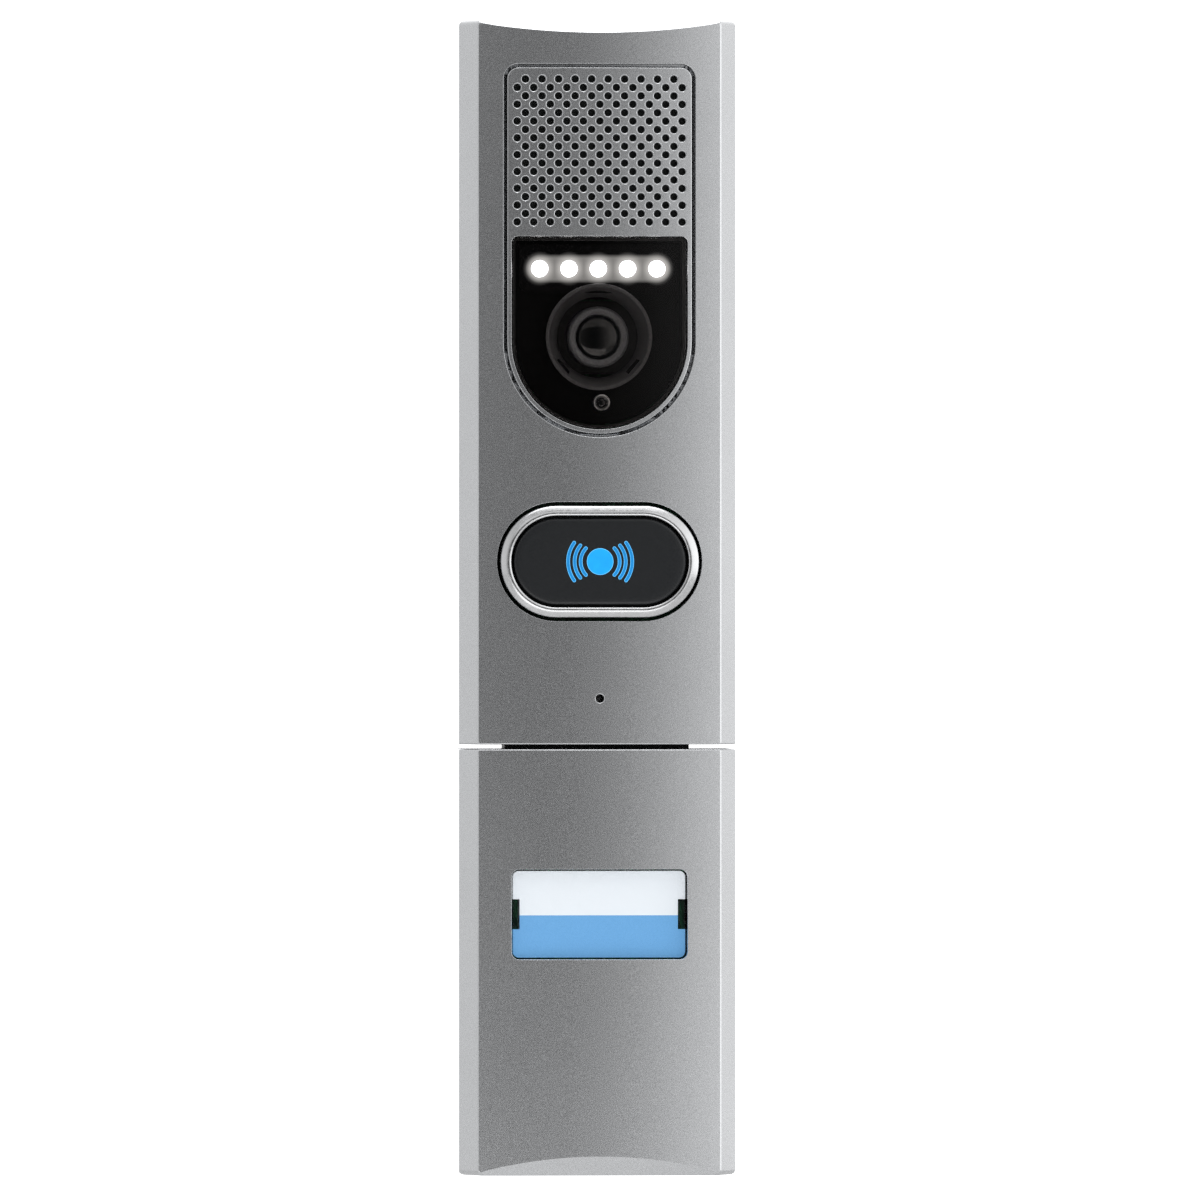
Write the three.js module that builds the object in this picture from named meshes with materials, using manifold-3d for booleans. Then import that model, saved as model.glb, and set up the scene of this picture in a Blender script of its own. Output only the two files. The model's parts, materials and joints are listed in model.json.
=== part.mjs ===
// A wall-mounted video doorbell made of two metal modules, one above the other.
// Millimetres. +z is up, the wall is the plane y = 0 and the front looks along -y.
// Every "depth" below is a distance from the wall, so a point at depth d has y = -d.
import * as THREE from 'three';
import { mergeVertices } from 'three/addons/utils/BufferGeometryUtils.js';
import Module from 'manifold-3d';

const wasm = await Module();
wasm.setup();

// ---- Overall shape ----
const WIDTH = 50;
const UPPER_HEIGHT = 130.3;
const LOWER_HEIGHT = 76.7;
const MODULE_GAP = 0.8;
const DEPTH = 30; // wall to the crown of the bowed front
const CROWN_RISE = 1.5; // the front bows out this far between its two upright ridges
const SIDE_FACET_WIDTH = 3.1;
const SIDE_FACET_DEPTH = 6.5;
const TOP_FACET = { atCrown: 2.35, atRidge: 0.55 };
const BOTTOM_FACET = { atCrown: 3.5, atRidge: 0.6 };

// ---- Fits ----
const CLEARANCE = 0.3; // between pieces that touch
const RUNNING_CLEARANCE = 0.15; // around a piece that turns or slides in another
const LIGHT_PIPE_CLEARANCE = 0.08; // around the lit symbol in the push plate

// ---- Housings ----
const SHELL_BACK = 1; // the metal shells stop short of the wall
const FRONT_WALL = 2.2;
const SIDE_WALL = 2;
const LEDGE_WALL = 3.6; // thicker wall in front of the seal
const LEDGE_DEPTH = 10.2;
const SEAL_WIDTH = 1;
const SEAL_THICKNESS = 0.6;
const REAR_WALL = 1.5;
const FLOOR_BACK = 3.3;
const FLOOR_THICKNESS = 2.2;
const BOSS_RADIUS = 2.6;
const BOSS_LENGTH = 7.8;
const BOSS_INSET = 6.6; // from the side of the shell to a screw's axis
const BOSS_END_OFFSET = 8; // from the end of a shell to a screw's axis
const POST_RADIUS = 1.5;

// ---- Screws ----
const CASE_SCREW = { radius: 1.1, length: 13, headRadius: 2.2, headHeight: 1.4 };
const LOCK_SCREW = { radius: 1.1, length: 7, headRadius: 2.2, headHeight: 0.95 };
const TERMINAL_SCREW = { radius: 1.1, length: 4, headRadius: 1.9, headHeight: 1 };

// ---- Grille panel and camera window, in the upper module ----
const PANEL_HALF_WIDTH = 16.63;
const PANEL_GROOVE = 0.64;
const PANEL_TOP_INSET = 8.6; // below the top of the upper module
const PANEL_CORNER = 2;
const PANEL_STRAIGHT = 49.2; // panel top down to the centre of its round end
const PANEL_THICKNESS = 1.6;
const PANEL_FLANGE = 1.2;
const FLANGE_THICKNESS = 1;
const HOLE_RADIUS = 0.625;
const HOLE_PITCH = 2.97;
const HOLE_ROWS = 18;
const HOLE_ROW_PITCH = 1.51;
const HOLE_TOP_INSET = 2.1; // below the top of the panel
const HOLE_SIDE_MARGIN = 1.7; // between the side of the panel and the middle of a hole, at least
const PANEL_RAIL = 0.78; // what is left of the panel beside the window
const WINDOW_GAP = 0.15;
const WINDOW_TOP_INSET = 30.5; // below the top of the panel
const WINDOW_CORNER = 1;
const WINDOW_THICKNESS = 2;
const CLOTH_THICKNESS = 0.4;

// ---- Speaker ----
const SPEAKER_RADIUS = 13.5;
const SPEAKER_DEPTH = 7;
const MAGNET_RADIUS = 7;
const MAGNET_THICKNESS = 5;

// ---- Camera ----
const CAMERA_BELOW_PANEL_TOP = 48.4;
const CAMERA_AXIS_DEPTH = 17;
const BARREL_RADIUS = 5.5;
const BARREL_THREAD_RADIUS = 5;
const BARREL_FRONT = 8.3; // from the tilt axis
const BARREL_SHOULDER = 3.5;
const BARREL_BACK = 3.1;
const LENS_RADIUS = 4.1;
const LENS_SEAT = 5.5;
const LENS_BORE = 3;
const HOOD_FRONT_RADIUS = 8.9;
const HOOD_BACK_RADIUS = 7.2;
const HOOD_WALL = 0.8;
const HOOD_BACK_DEPTH = 22;
const HOOD_NOTCH = { width: 1.5, angle: 40 };
const CRADLE = { halfWidth: 7.2, halfHeight: 6.5, front: 3.2, back: 4 };
const TRUNNION_RADIUS = 1.5;
const TRUNNION_LENGTH = 2.7;
const CHEEK_THICKNESS = 2.4;
const CHEEK_GAP = 0.8;
const YOKE = { front: 3, back: 8.5, plate: 1.5, halfHeight: 7 };
const SENSOR_BOARD = { half: 7, thickness: 1 };
const SENSOR_CHIP = { half: 3.5, thickness: 0.6 };

// ---- Lamps and light sensor behind the window ----
const LAMP_COUNT = 5;
const LAMP_SIDE_MARGIN = 5.14; // from the side of the window to the middle of the last lamp
const LAMP_RADIUS = 1.5;
const LAMP_BELOW_PANEL_TOP = 36.1;
const LAMP_HEIGHT = 3.6;
const LAMP_BOARD = { halfWidth: 14, halfHeight: 3.5, thickness: 1.2, back: 22 };
const LIGHT_SENSOR = { radius: 1.5, aboveWindowBottom: 4.7, side: 0.5 };

// ---- Boards and terminals ----
const BOARD = { halfWidth: 15.5, bottom: 4.7, belowCamera: 9.3, back: 14, thickness: 1.6 };
const BOARD_POST_INSET = 2.6;
const TERMINAL = { halfWidth: 9, bottom: 35, height: 12, back: 8.5, screwPitch: 9 };
const CABLE_ENTRY = { halfWidth: 10, bottom: 33, height: 16 };

// ---- Push button ----
const BUTTON_HEIGHT_UP = 32.9; // above the bottom of the upper module
const CAP_LENGTH = 31;
const CAP_HEIGHT = 15.5;
const CAP_TRAVEL = 0.8;
const CAP_GAP = 0.45;
const CAP_SKIN = 1.8;
const CAP_WALL = 1.4;
const CAP_RECESS = 0.3; // below the top of the ring
const RING_WIDTH = 1.9;
const RING_PROUD = 0.8; // in front of the crown
const RING_GROOVE = 0.6;
const RING_BEVEL = 0.5;
const RIB_WIDTH = 4;
const RIB_THICKNESS = 1.6;
const SPRING_OFFSET = 11;
const SPRING = { radius: 1.8, wire: 0.25, turns: 5, sides: 5, stepsPerTurn: 8 };
const SWITCH = { half: 3, height: 3.5, stemRadius: 1.75, stemHeight: 1.15, travel: 0.25 };
const PUSHER_HALF = 2;
const ICON_DISC_RADIUS = 2.4;
const ICON_ARCS = [
  { radius: 3.51, halfAngle: 43 },
  { radius: 4.6, halfAngle: 39 },
  { radius: 5.77, halfAngle: 36 },
];
const ICON_STROKE = 0.65;
const ICON_PLATE = { halfWidth: 7, halfHeight: 4.4, thickness: 1.5 };
const ICON_LAMP = { half: 1.5, height: 1.2, side: 6.5 };

// ---- Microphone ----
const MIC_HEIGHT_UP = 8.3; // above the bottom of the upper module
const MIC_HOLE_RADIUS = 0.73;
const MIC_RADIUS = 3;
const MIC_HEIGHT = 5.8;
const BOOT_RADIUS = 3.6;

// ---- Link between the modules ----
const LINK_WIDTH = 33.3;
const LINK_BACK = 10.8;
const LINK_FRONT = 20.7;
const LINK_REACH = 4.2; // into each module, past the gap
const LINK_WALL = 1.5;
const RIBBON = { width: 8, thickness: 0.4, side: 9, reachUp: 9, reachDown: 25 };

// ---- Name window, in the lower module ----
const NAME_WIDTH = 31.7;
const NAME_HEIGHT = 16.2;
const NAME_CENTRE_UP = 47;
const NAME_CORNER = 1.4;
const NAME_RECESS = 1.6; // below the crown
const COVER_THICKNESS = 1.5;
const COVER_LEG = { thickness: 1, halfHeight: 2.4, length: 4.4, hook: 0.5 };
const COVER_NOTCH_DEPTH = 0.9;
const CARD_THICKNESS = 0.4;
const DIFFUSER_THICKNESS = 5.6;
const NAME_BOARD = { halfWidth: 16, halfHeight: 10, thickness: 1.2, back: 17.1 };
const NAME_LAMP = { half: 1.5, height: 0.9, side: 7 };

// ---- Wall bracket ----
const BRACKET_WIDTH = 32;
const BRACKET_THICKNESS = 2;
const BRACKET_END_INSET = 6;
const BRACKET_HOLE_RADIUS = 2.3;
const BRACKET_HOLE_INSET = 12;
const BRACKET_HOLE_SIDE = 8;
const BRACKET_LIP = { halfWidth: 5, depth: 7.5, thickness: 2 };
const BRACKET_ENTRY_MARGIN = 1;
const HOOK = { halfWidth: 3, stem: 1.6, lip: 2.4, lipThickness: 1.2, side: 11, slotDrop: 3 };
const HOOK_HEIGHTS = { upper: [68, 98], lower: [30, 60] };
const LOCK_SCREW_DEPTH = 4.6;

// ---- Values worked out from the ones above ----
const HALF_WIDTH = WIDTH / 2;
const TOTAL_HEIGHT = UPPER_HEIGHT + MODULE_GAP + LOWER_HEIGHT;
const RIDGE_HALF = HALF_WIDTH - SIDE_FACET_WIDTH;
const RIDGE_DEPTH = DEPTH - CROWN_RISE;
const FLOOR_FRONT = FLOOR_BACK + FLOOR_THICKNESS;
const SEAL_FRONT = LEDGE_DEPTH - CLEARANCE;
const RIM_DEPTH = SEAL_FRONT - SEAL_THICKNESS - CLEARANCE;
const REAR_HALF_WIDTH = HALF_WIDTH - SIDE_WALL - CLEARANCE;
const REAR_END = SIDE_WALL + CLEARANCE;
const PANEL_FLANGE_FRONT = FRONT_WALL + CLEARANCE;
const PANEL_FLANGE_BACK = PANEL_FLANGE_FRONT + FLANGE_THICKNESS;
const WINDOW_FLANGE_FRONT = PANEL_FLANGE_BACK + CLEARANCE;
const WINDOW_HALF_WIDTH = PANEL_HALF_WIDTH - PANEL_RAIL - WINDOW_GAP;
const PANEL_TOP = UPPER_HEIGHT - PANEL_TOP_INSET;
const PANEL_CENTRE = PANEL_TOP - PANEL_STRAIGHT;
const WINDOW_TOP = PANEL_TOP - WINDOW_TOP_INSET;
const CAMERA_UP = PANEL_TOP - CAMERA_BELOW_PANEL_TOP;
const LAMP_UP = PANEL_TOP - LAMP_BELOW_PANEL_TOP;
const BOARD_TOP = CAMERA_UP - BOARD.belowCamera;
const LAMP_PITCH = (2 * (WINDOW_HALF_WIDTH - LAMP_SIDE_MARGIN)) / (LAMP_COUNT - 1);
const BOARD_FRONT = BOARD.back + BOARD.thickness;
const ON_BOARD = BOARD_FRONT + CLEARANCE;
const RING_TOP = DEPTH + RING_PROUD;
const CAP_FRONT = RING_TOP - CAP_RECESS;
const FAR = 400; // longer than anything it cuts
const STEEP = Math.PI / 180;

// ---- Materials ----
function material(color, roughness, metalness, extra = {}) {
  return new THREE.MeshStandardMaterial({ color, roughness, metalness, flatShading: true, ...extra });
}

const silverPaint = () => material(0xb4b8bb, 0.42, 0.6);
const blackPlastic = () => material(0x1b1c1e, 0.55, 0);
const glossBlack = () => material(0x0a0a0c, 0.12, 0);
const satinSteel = () => material(0xc4c7ca, 0.3, 1);
const rubber = () => material(0x151515, 0.85, 0);
const circuitBoard = () => material(0x14522d, 0.5, 0);
const lampPlastic = () => material(0xf4f6f5, 0.2, 0, { emissive: 0xffffff, emissiveIntensity: 0.8 });
const blueLight = () => material(0x1ea6ec, 0.3, 0, { emissive: 0x1ea6ec, emissiveIntensity: 0.9 });
const clearPlastic = () => material(0xe6edf1, 0.08, 0, { transparent: true, opacity: 0.35 });

// ---- Solids ----

/** Turns a closed three.js geometry into a solid whose faces point outwards. */
function solid(geometry) {
  geometry.deleteAttribute('normal');
  geometry.deleteAttribute('uv');
  const merged = mergeVertices(geometry, 1e-4);
  const at = merged.attributes.position.array;
  const corners = [];
  let sixVolumes = 0;
  for (let i = 0; i < merged.index.count; i += 3) {
    const [a, b, c] = [0, 1, 2].map((k) => merged.index.array[i + k]);
    if (a === b || b === c || c === a) continue;
    corners.push([a, b, c]);
    const [p, q, r] = [a, b, c].map((k) => new THREE.Vector3().fromArray(at, 3 * k));
    sixVolumes += p.dot(q.cross(r));
  }
  const facing = sixVolumes < 0 ? corners.map(([a, b, c]) => [a, c, b]) : corners;
  const triVerts = new Uint32Array(facing.flat());
  const vertProperties = new Float32Array(at);
  return new wasm.Manifold(new wasm.Mesh({ numProp: 3, vertProperties, triVerts }));
}

/** Puts a solid into the scene graph as a named mesh. */
function piece(parent, name, body, surface) {
  const { vertProperties, triVerts } = body.getMesh();
  const geometry = new THREE.BufferGeometry();
  geometry.setAttribute('position', new THREE.BufferAttribute(vertProperties, 3));
  geometry.setIndex(new THREE.BufferAttribute(triVerts, 1));
  const mesh = new THREE.Mesh(geometry, surface);
  mesh.name = name;
  parent.add(mesh);
  return mesh;
}

function group(parent, x, depth, z) {
  const made = new THREE.Group();
  made.position.set(x, -depth, z);
  parent.add(made);
  return made;
}

const toVectors = (points) => points.map(([x, y]) => new THREE.Vector2(x, y));

function extruded(points, length, holes = []) {
  const shape = new THREE.Shape(toVectors(points));
  shape.holes = holes.map((hole) => new THREE.Path(toVectors(hole)));
  return new THREE.ExtrudeGeometry(shape, { depth: length, bevelEnabled: false });
}

/** A prism whose outline is in x and z, between two depths. */
function prismY(points, back, front, holes = []) {
  const geometry = extruded(points, front - back, holes);
  geometry.translate(0, 0, back);
  geometry.rotateX(Math.PI / 2);
  return solid(geometry);
}

/** A prism whose outline is in x and depth, between two heights. */
function prismZ(points, low, high) {
  const geometry = extruded(points.map(([x, depth]) => [x, -depth]), high - low);
  geometry.translate(0, 0, low);
  return solid(geometry);
}

/** A prism whose outline is in depth and z, as wide on both sides of a centre. */
function prismX(points, half, centre = 0) {
  const geometry = extruded(points, 2 * half);
  const turn = new THREE.Matrix4().makeBasis(
    new THREE.Vector3(0, -1, 0),
    new THREE.Vector3(0, 0, 1),
    new THREE.Vector3(-1, 0, 0),
  );
  geometry.translate(0, 0, -half);
  geometry.applyMatrix4(turn);
  geometry.translate(centre, 0, 0);
  return solid(geometry);
}

function box([left, right], [back, front], [low, high]) {
  const geometry = new THREE.BoxGeometry(right - left, front - back, high - low);
  geometry.translate((left + right) / 2, -(back + front) / 2, (low + high) / 2);
  return solid(geometry);
}

/** A solid of revolution about a line in depth. Its profile holds radii and depths. */
function turnedY(profile, sides, x = 0, z = 0) {
  const geometry = new THREE.LatheGeometry(toVectors(profile), sides);
  geometry.rotateX(Math.PI);
  geometry.translate(x, 0, z);
  return solid(geometry);
}

/** A solid of revolution about an upright line. Its profile holds radii and heights. */
function turnedZ(profile, sides, x, depth) {
  const geometry = new THREE.LatheGeometry(toVectors(profile), sides);
  geometry.rotateX(Math.PI / 2);
  geometry.translate(x, -depth, 0);
  return solid(geometry);
}

const joined = (bodies) => bodies.reduce((whole, body) => whole.add(body));
const cut = (body, tools) => tools.reduce((rest, tool) => rest.subtract(tool), body);

// ---- Outlines ----

/** Points on an arc, both ends included. Angles are in degrees. */
function arc(x, y, radius, from, to, steps) {
  return Array.from({ length: steps + 1 }, (_, i) => {
    const angle = (from + ((to - from) * i) / steps) * STEEP;
    return [x + radius * Math.cos(angle), y + radius * Math.sin(angle)];
  });
}

const circle = (x, y, radius, sides) => arc(x, y, radius, 0, 360, sides).slice(0, -1);

function roundedRectangle(halfWidth, halfHeight, radius, x = 0, y = 0, steps = 3) {
  const [dx, dy] = [halfWidth - radius, halfHeight - radius];
  return [
    ...arc(x + dx, y + dy, radius, 0, 90, steps),
    ...arc(x - dx, y + dy, radius, 90, 180, steps),
    ...arc(x - dx, y - dy, radius, 180, 270, steps),
    ...arc(x + dx, y - dy, radius, 270, 360, steps),
  ];
}

/** A bar with fully round ends, grown all round by a margin. */
function stadium(length, height, margin, z, steps = 9) {
  const radius = height / 2 + margin;
  const reach = (length - height) / 2;
  return [...arc(reach, z, radius, -90, 90, steps), ...arc(-reach, z, radius, 90, 270, steps)];
}

/** A tall outline with two small corners at its top and a half round bottom. */
function arched(halfWidth, top, centre, corner, margin) {
  const half = halfWidth + margin;
  const radius = Math.max(corner + margin, 0.1);
  const high = top + margin - radius;
  return [
    ...arc(half - radius, high, radius, 0, 90, 3),
    ...arc(radius - half, high, radius, 90, 180, 3),
    ...arc(0, centre, half, 180, 360, 18),
  ];
}

const panelOutline = (margin) =>
  arched(PANEL_HALF_WIDTH, PANEL_TOP, PANEL_CENTRE, PANEL_CORNER, margin);
const windowOutline = (margin) =>
  arched(WINDOW_HALF_WIDTH, WINDOW_TOP, PANEL_CENTRE, WINDOW_CORNER, margin);

// ---- The bowed front ----

const faceFall = (x) => CROWN_RISE * (x / RIDGE_HALF) ** 2;
const faceDepth = (x) => DEPTH - faceFall(x);

/** Points across the bowed front, lowered by an offset. Its flats meet between the grille holes. */
function bow(half, offset) {
  const right = [];
  for (let x = HOLE_PITCH / 4; x < half; x += HOLE_PITCH) right.push(x);
  right.push(half);
  const all = [...right.map((x) => -x).reverse(), ...right];
  return all.map((x) => [x, faceDepth(x) - offset]);
}

/** A sheet that follows the bowed front between two offsets behind it. */
function bowedSheet(front, back) {
  const outline = [...bow(RIDGE_HALF, front), ...bow(RIDGE_HALF, back).reverse()];
  return prismZ(outline, 0, Math.max(UPPER_HEIGHT, LOWER_HEIGHT));
}

/** The part of a bowed sheet inside an outline in x and z. */
function bowedPanel(points, front, back, holes = []) {
  const through = prismY(points, DEPTH - CROWN_RISE - back - FRONT_WALL, DEPTH + 1, holes);
  return through.intersect(bowedSheet(front, back));
}

/** A pane in the bowed front with a rim behind it and a flange that keeps it from falling out. */
function flangedPane(outline, thickness, rim, flangeFront, flange, holes) {
  const flangeBack = flangeFront + FLANGE_THICKNESS;
  return joined([
    bowedPanel(outline(0), 0, thickness, holes),
    bowedPanel(outline(0), thickness / 2, flangeBack, [outline(-rim)]),
    bowedPanel(outline(flange), flangeFront, flangeBack, [outline(-rim)]),
  ]);
}

/** The wedge that slopes an end of the bowed front off. A facet is taller at the crown. */
function facetWedge({ atCrown, atRidge }, end, towards) {
  const slope = (atCrown - atRidge) / CROWN_RISE;
  const start = RIDGE_DEPTH - atRidge / slope;
  const reach = DEPTH + 5;
  const wedge = [
    [start, end],
    [reach, end - towards * slope * (reach - start)],
    [reach, end + towards],
    [start, end + towards],
  ];
  return prismX(wedge, HALF_WIDTH + 1);
}

// ---- Housings ----

const screwPlaces = (height) =>
  [BOSS_END_OFFSET, height - BOSS_END_OFFSET].flatMap((z) =>
    [-1, 1].map((side) => ({ x: side * (HALF_WIDTH - BOSS_INSET), z })),
  );

function shellOutline() {
  const side = RIDGE_DEPTH - SIDE_FACET_DEPTH;
  return [
    ...bow(RIDGE_HALF, 0),
    [HALF_WIDTH, side],
    [HALF_WIDTH, SHELL_BACK],
    [-HALF_WIDTH, SHELL_BACK],
    [-HALF_WIDTH, side],
  ];
}

function cavityOutline() {
  const corner = RIDGE_HALF - 0.65 * SIDE_WALL;
  const half = HALF_WIDTH - LEDGE_WALL;
  const drop = ((half - corner) * SIDE_FACET_DEPTH) / SIDE_FACET_WIDTH;
  const side = faceDepth(corner) - FRONT_WALL - drop;
  const back = LEDGE_DEPTH - 1;
  return [...bow(corner, FRONT_WALL), [half, side], [half, back], [-half, back], [-half, side]];
}

function boss({ x, z }) {
  const toWall = Math.sign(x) * (HALF_WIDTH - LEDGE_WALL + 0.5);
  const depths = [LEDGE_DEPTH, LEDGE_DEPTH + BOSS_LENGTH];
  const web = [Math.min(x, toWall), Math.max(x, toWall)];
  const post = prismY(circle(x, z, BOSS_RADIUS, 16), ...depths);
  return post.add(box(web, depths, [z - BOSS_RADIUS / 2, z + BOSS_RADIUS / 2]));
}

/** A metal shell, open at the back, with a ledge for its seal and four screw bosses. */
function frontHousing(height, ends, cuts) {
  const rearHalf = HALF_WIDTH - SIDE_WALL;
  const rearCavity = box([-rearHalf, rearHalf], [0, LEDGE_DEPTH], [SIDE_WALL, height - SIDE_WALL]);
  const frontCavity = prismZ(cavityOutline(), LEDGE_WALL, height - LEDGE_WALL);
  const shell = cut(prismZ(shellOutline(), 0, height), [frontCavity, rearCavity, ...ends]);
  const places = screwPlaces(height);
  const holes = places.map(({ x, z }) => {
    const radius = CASE_SCREW.radius + RUNNING_CLEARANCE;
    return prismY(circle(x, z, radius, 10), LEDGE_DEPTH - 1, LEDGE_DEPTH + BOSS_LENGTH - 1);
  });
  return cut(joined([shell, ...places.map(boss)]), [...holes, ...cuts]);
}

/** The way through a shell's end wall for the link between the modules. */
function linkPassage(low, high) {
  const half = LINK_WIDTH / 2 + CLEARANCE;
  return box([-half, half], [LINK_BACK - CLEARANCE, LINK_FRONT + CLEARANCE], [low, high]);
}

/** The notch in an end wall where the bracket runs on from one module to the other. */
function bracketNotch(low, high) {
  const half = BRACKET_WIDTH / 2 + CLEARANCE;
  return box([-half, half], [0, BRACKET_THICKNESS + CLEARANCE], [low, high]);
}

/** A loop with square corners between an outer and an inner half width. */
function loop(height, depths) {
  const outer = [-REAR_HALF_WIDTH, REAR_HALF_WIDTH];
  const inner = [-REAR_HALF_WIDTH + SEAL_WIDTH, REAR_HALF_WIDTH - SEAL_WIDTH];
  const ring = box(outer, depths, [REAR_END, height - REAR_END]);
  const inside = [REAR_END + SEAL_WIDTH, height - REAR_END - SEAL_WIDTH];
  return ring.subtract(box(inner, [depths[0] - 1, depths[1] + 1], inside));
}

function hookSlot(z) {
  const top = z + HOOK.stem + CLEARANCE;
  const half = HOOK.halfWidth + CLEARANCE;
  return [-1, 1].map((side) => {
    const x = side * HOOK.side;
    return box([x - half, x + half], [0, FLOOR_FRONT + 1], [z - HOOK.slotDrop, top]);
  });
}

/** A plastic tray that closes the back of a shell. */
function rearHousing(height, hooks, posts, cuts) {
  const half = REAR_HALF_WIDTH;
  const inside = [REAR_WALL - half, half - REAR_WALL];
  const insideZ = [REAR_END + REAR_WALL, height - REAR_END - REAR_WALL];
  const tray = cut(box([-half, half], [SHELL_BACK, RIM_DEPTH], [REAR_END, height - REAR_END]), [
    box(inside, [FLOOR_FRONT, RIM_DEPTH + 1], insideZ),
    box(inside, [0, FLOOR_BACK], insideZ),
  ]);
  const places = screwPlaces(height);
  const columns = places.map(({ x, z }) =>
    prismY(circle(x, z, BOSS_RADIUS, 16), FLOOR_BACK + 1, LEDGE_DEPTH - CLEARANCE),
  );
  const holes = places.map(({ x, z }) =>
    prismY(circle(x, z, CASE_SCREW.radius + CLEARANCE, 10), 0, LEDGE_DEPTH),
  );
  const slots = hooks.flatMap(hookSlot);
  return cut(joined([tray, ...columns, ...posts]), [...holes, ...slots, ...cuts]);
}

/** A screw along the depth, with its head at the back. */
function screwProfile({ radius, length, headRadius, headHeight }, start) {
  const neck = start + headHeight;
  return [
    [0, start],
    [headRadius, start],
    [headRadius, neck],
    [radius, neck],
    [radius, neck + length],
    [0, neck + length],
  ];
}

function caseScrews(parent, height, prefix) {
  const start = FLOOR_BACK - CLEARANCE - CASE_SCREW.headHeight;
  const body = turnedY(screwProfile(CASE_SCREW, start), 9);
  screwPlaces(height).forEach(({ x, z }, i) => {
    piece(parent, `${prefix}_${i + 1}`, body, satinSteel()).position.set(x, 0, z);
  });
}

// ---- Upper module ----

function upperHousing(parent) {
  const top = facetWedge(TOP_FACET, UPPER_HEIGHT, 1);
  const behindFace = FRONT_WALL + CROWN_RISE + 1;
  const through = [DEPTH - behindFace, DEPTH + 1];
  const micDepths = [DEPTH - FRONT_WALL - 1, DEPTH + 1];
  const cuts = [
    prismY(panelOutline(PANEL_GROOVE), ...through),
    prismY(stadium(CAP_LENGTH, CAP_HEIGHT, CAP_GAP + RING_WIDTH + RING_GROOVE, BUTTON_HEIGHT_UP), ...through),
    prismY(circle(0, MIC_HEIGHT_UP, MIC_HOLE_RADIUS, 12), ...micDepths),
    linkPassage(-1, LEDGE_WALL + 1),
    bracketNotch(-1, LEDGE_WALL),
  ];
  piece(parent, 'upper_front_housing', frontHousing(UPPER_HEIGHT, [top], cuts), silverPaint());

  const postX = BOARD.halfWidth - BOARD_POST_INSET;
  const postZ = [BOARD.bottom + BOARD_POST_INSET, BOARD_TOP - BOARD_POST_INSET];
  const posts = postZ.flatMap((z) =>
    [-postX, postX].map((x) =>
      prismY(circle(x, z, POST_RADIUS, 10), FLOOR_BACK + 1, BOARD.back - CLEARANCE),
    ),
  );
  const entry = box(
    [-CABLE_ENTRY.halfWidth, CABLE_ENTRY.halfWidth],
    [0, FLOOR_FRONT + 1],
    [CABLE_ENTRY.bottom, CABLE_ENTRY.bottom + CABLE_ENTRY.height],
  );
  const cutouts = [entry, bracketNotch(0, REAR_END + REAR_WALL + 1)];
  const rear = rearHousing(UPPER_HEIGHT, HOOK_HEIGHTS.upper, posts, cutouts);
  piece(parent, 'upper_rear_housing', rear, blackPlastic());
  const seal = loop(UPPER_HEIGHT, [SEAL_FRONT - SEAL_THICKNESS, SEAL_FRONT]);
  piece(parent, 'upper_housing_seal', seal, rubber());
  caseScrews(parent, UPPER_HEIGHT, 'upper_case_screw');
}

/** Rows of round sound holes, with one hole more in every second row. */
function soundHoles() {
  const holes = [];
  const most = 2 * Math.floor((PANEL_HALF_WIDTH - HOLE_SIDE_MARGIN) / HOLE_PITCH) + 1;
  for (let row = 0; row < HOLE_ROWS; row += 1) {
    const count = row % 2 === 0 ? most - 1 : most;
    const z = PANEL_TOP - HOLE_TOP_INSET - row * HOLE_ROW_PITCH;
    for (let i = 0; i < count; i += 1) {
      holes.push(circle((i - (count - 1) / 2) * HOLE_PITCH, z, HOLE_RADIUS, 6));
    }
  }
  return holes;
}

function grille(parent) {
  const reach = PANEL_GROOVE + PANEL_FLANGE;
  const holes = soundHoles();
  const pane = flangedPane(panelOutline, PANEL_THICKNESS, PANEL_RAIL, PANEL_FLANGE_FRONT, reach, holes);
  const opening = prismY(windowOutline(WINDOW_GAP), 0, DEPTH + 1);
  piece(parent, 'grille_panel', pane.subtract(opening), silverPaint());

  const clothHalf = PANEL_HALF_WIDTH - PANEL_RAIL - CLEARANCE;
  const clothTop = PANEL_TOP - PANEL_RAIL - CLEARANCE;
  const clothBottom = WINDOW_TOP + WINDOW_GAP + PANEL_FLANGE + CLEARANCE;
  const cloth = bowedPanel(
    roundedRectangle(clothHalf, (clothTop - clothBottom) / 2, 1, 0, (clothTop + clothBottom) / 2, 1),
    PANEL_THICKNESS + CLEARANCE,
    PANEL_THICKNESS + CLEARANCE + CLOTH_THICKNESS,
  );
  piece(parent, 'speaker_cloth', cloth, material(0x2a2c2c, 0.95, 0));

  const windowRim = 1;
  const glass = flangedPane(
    windowOutline,
    WINDOW_THICKNESS,
    windowRim,
    WINDOW_FLANGE_FRONT,
    WINDOW_GAP + PANEL_FLANGE,
    [],
  );
  piece(parent, 'camera_window', glass, glossBlack());
}

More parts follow.
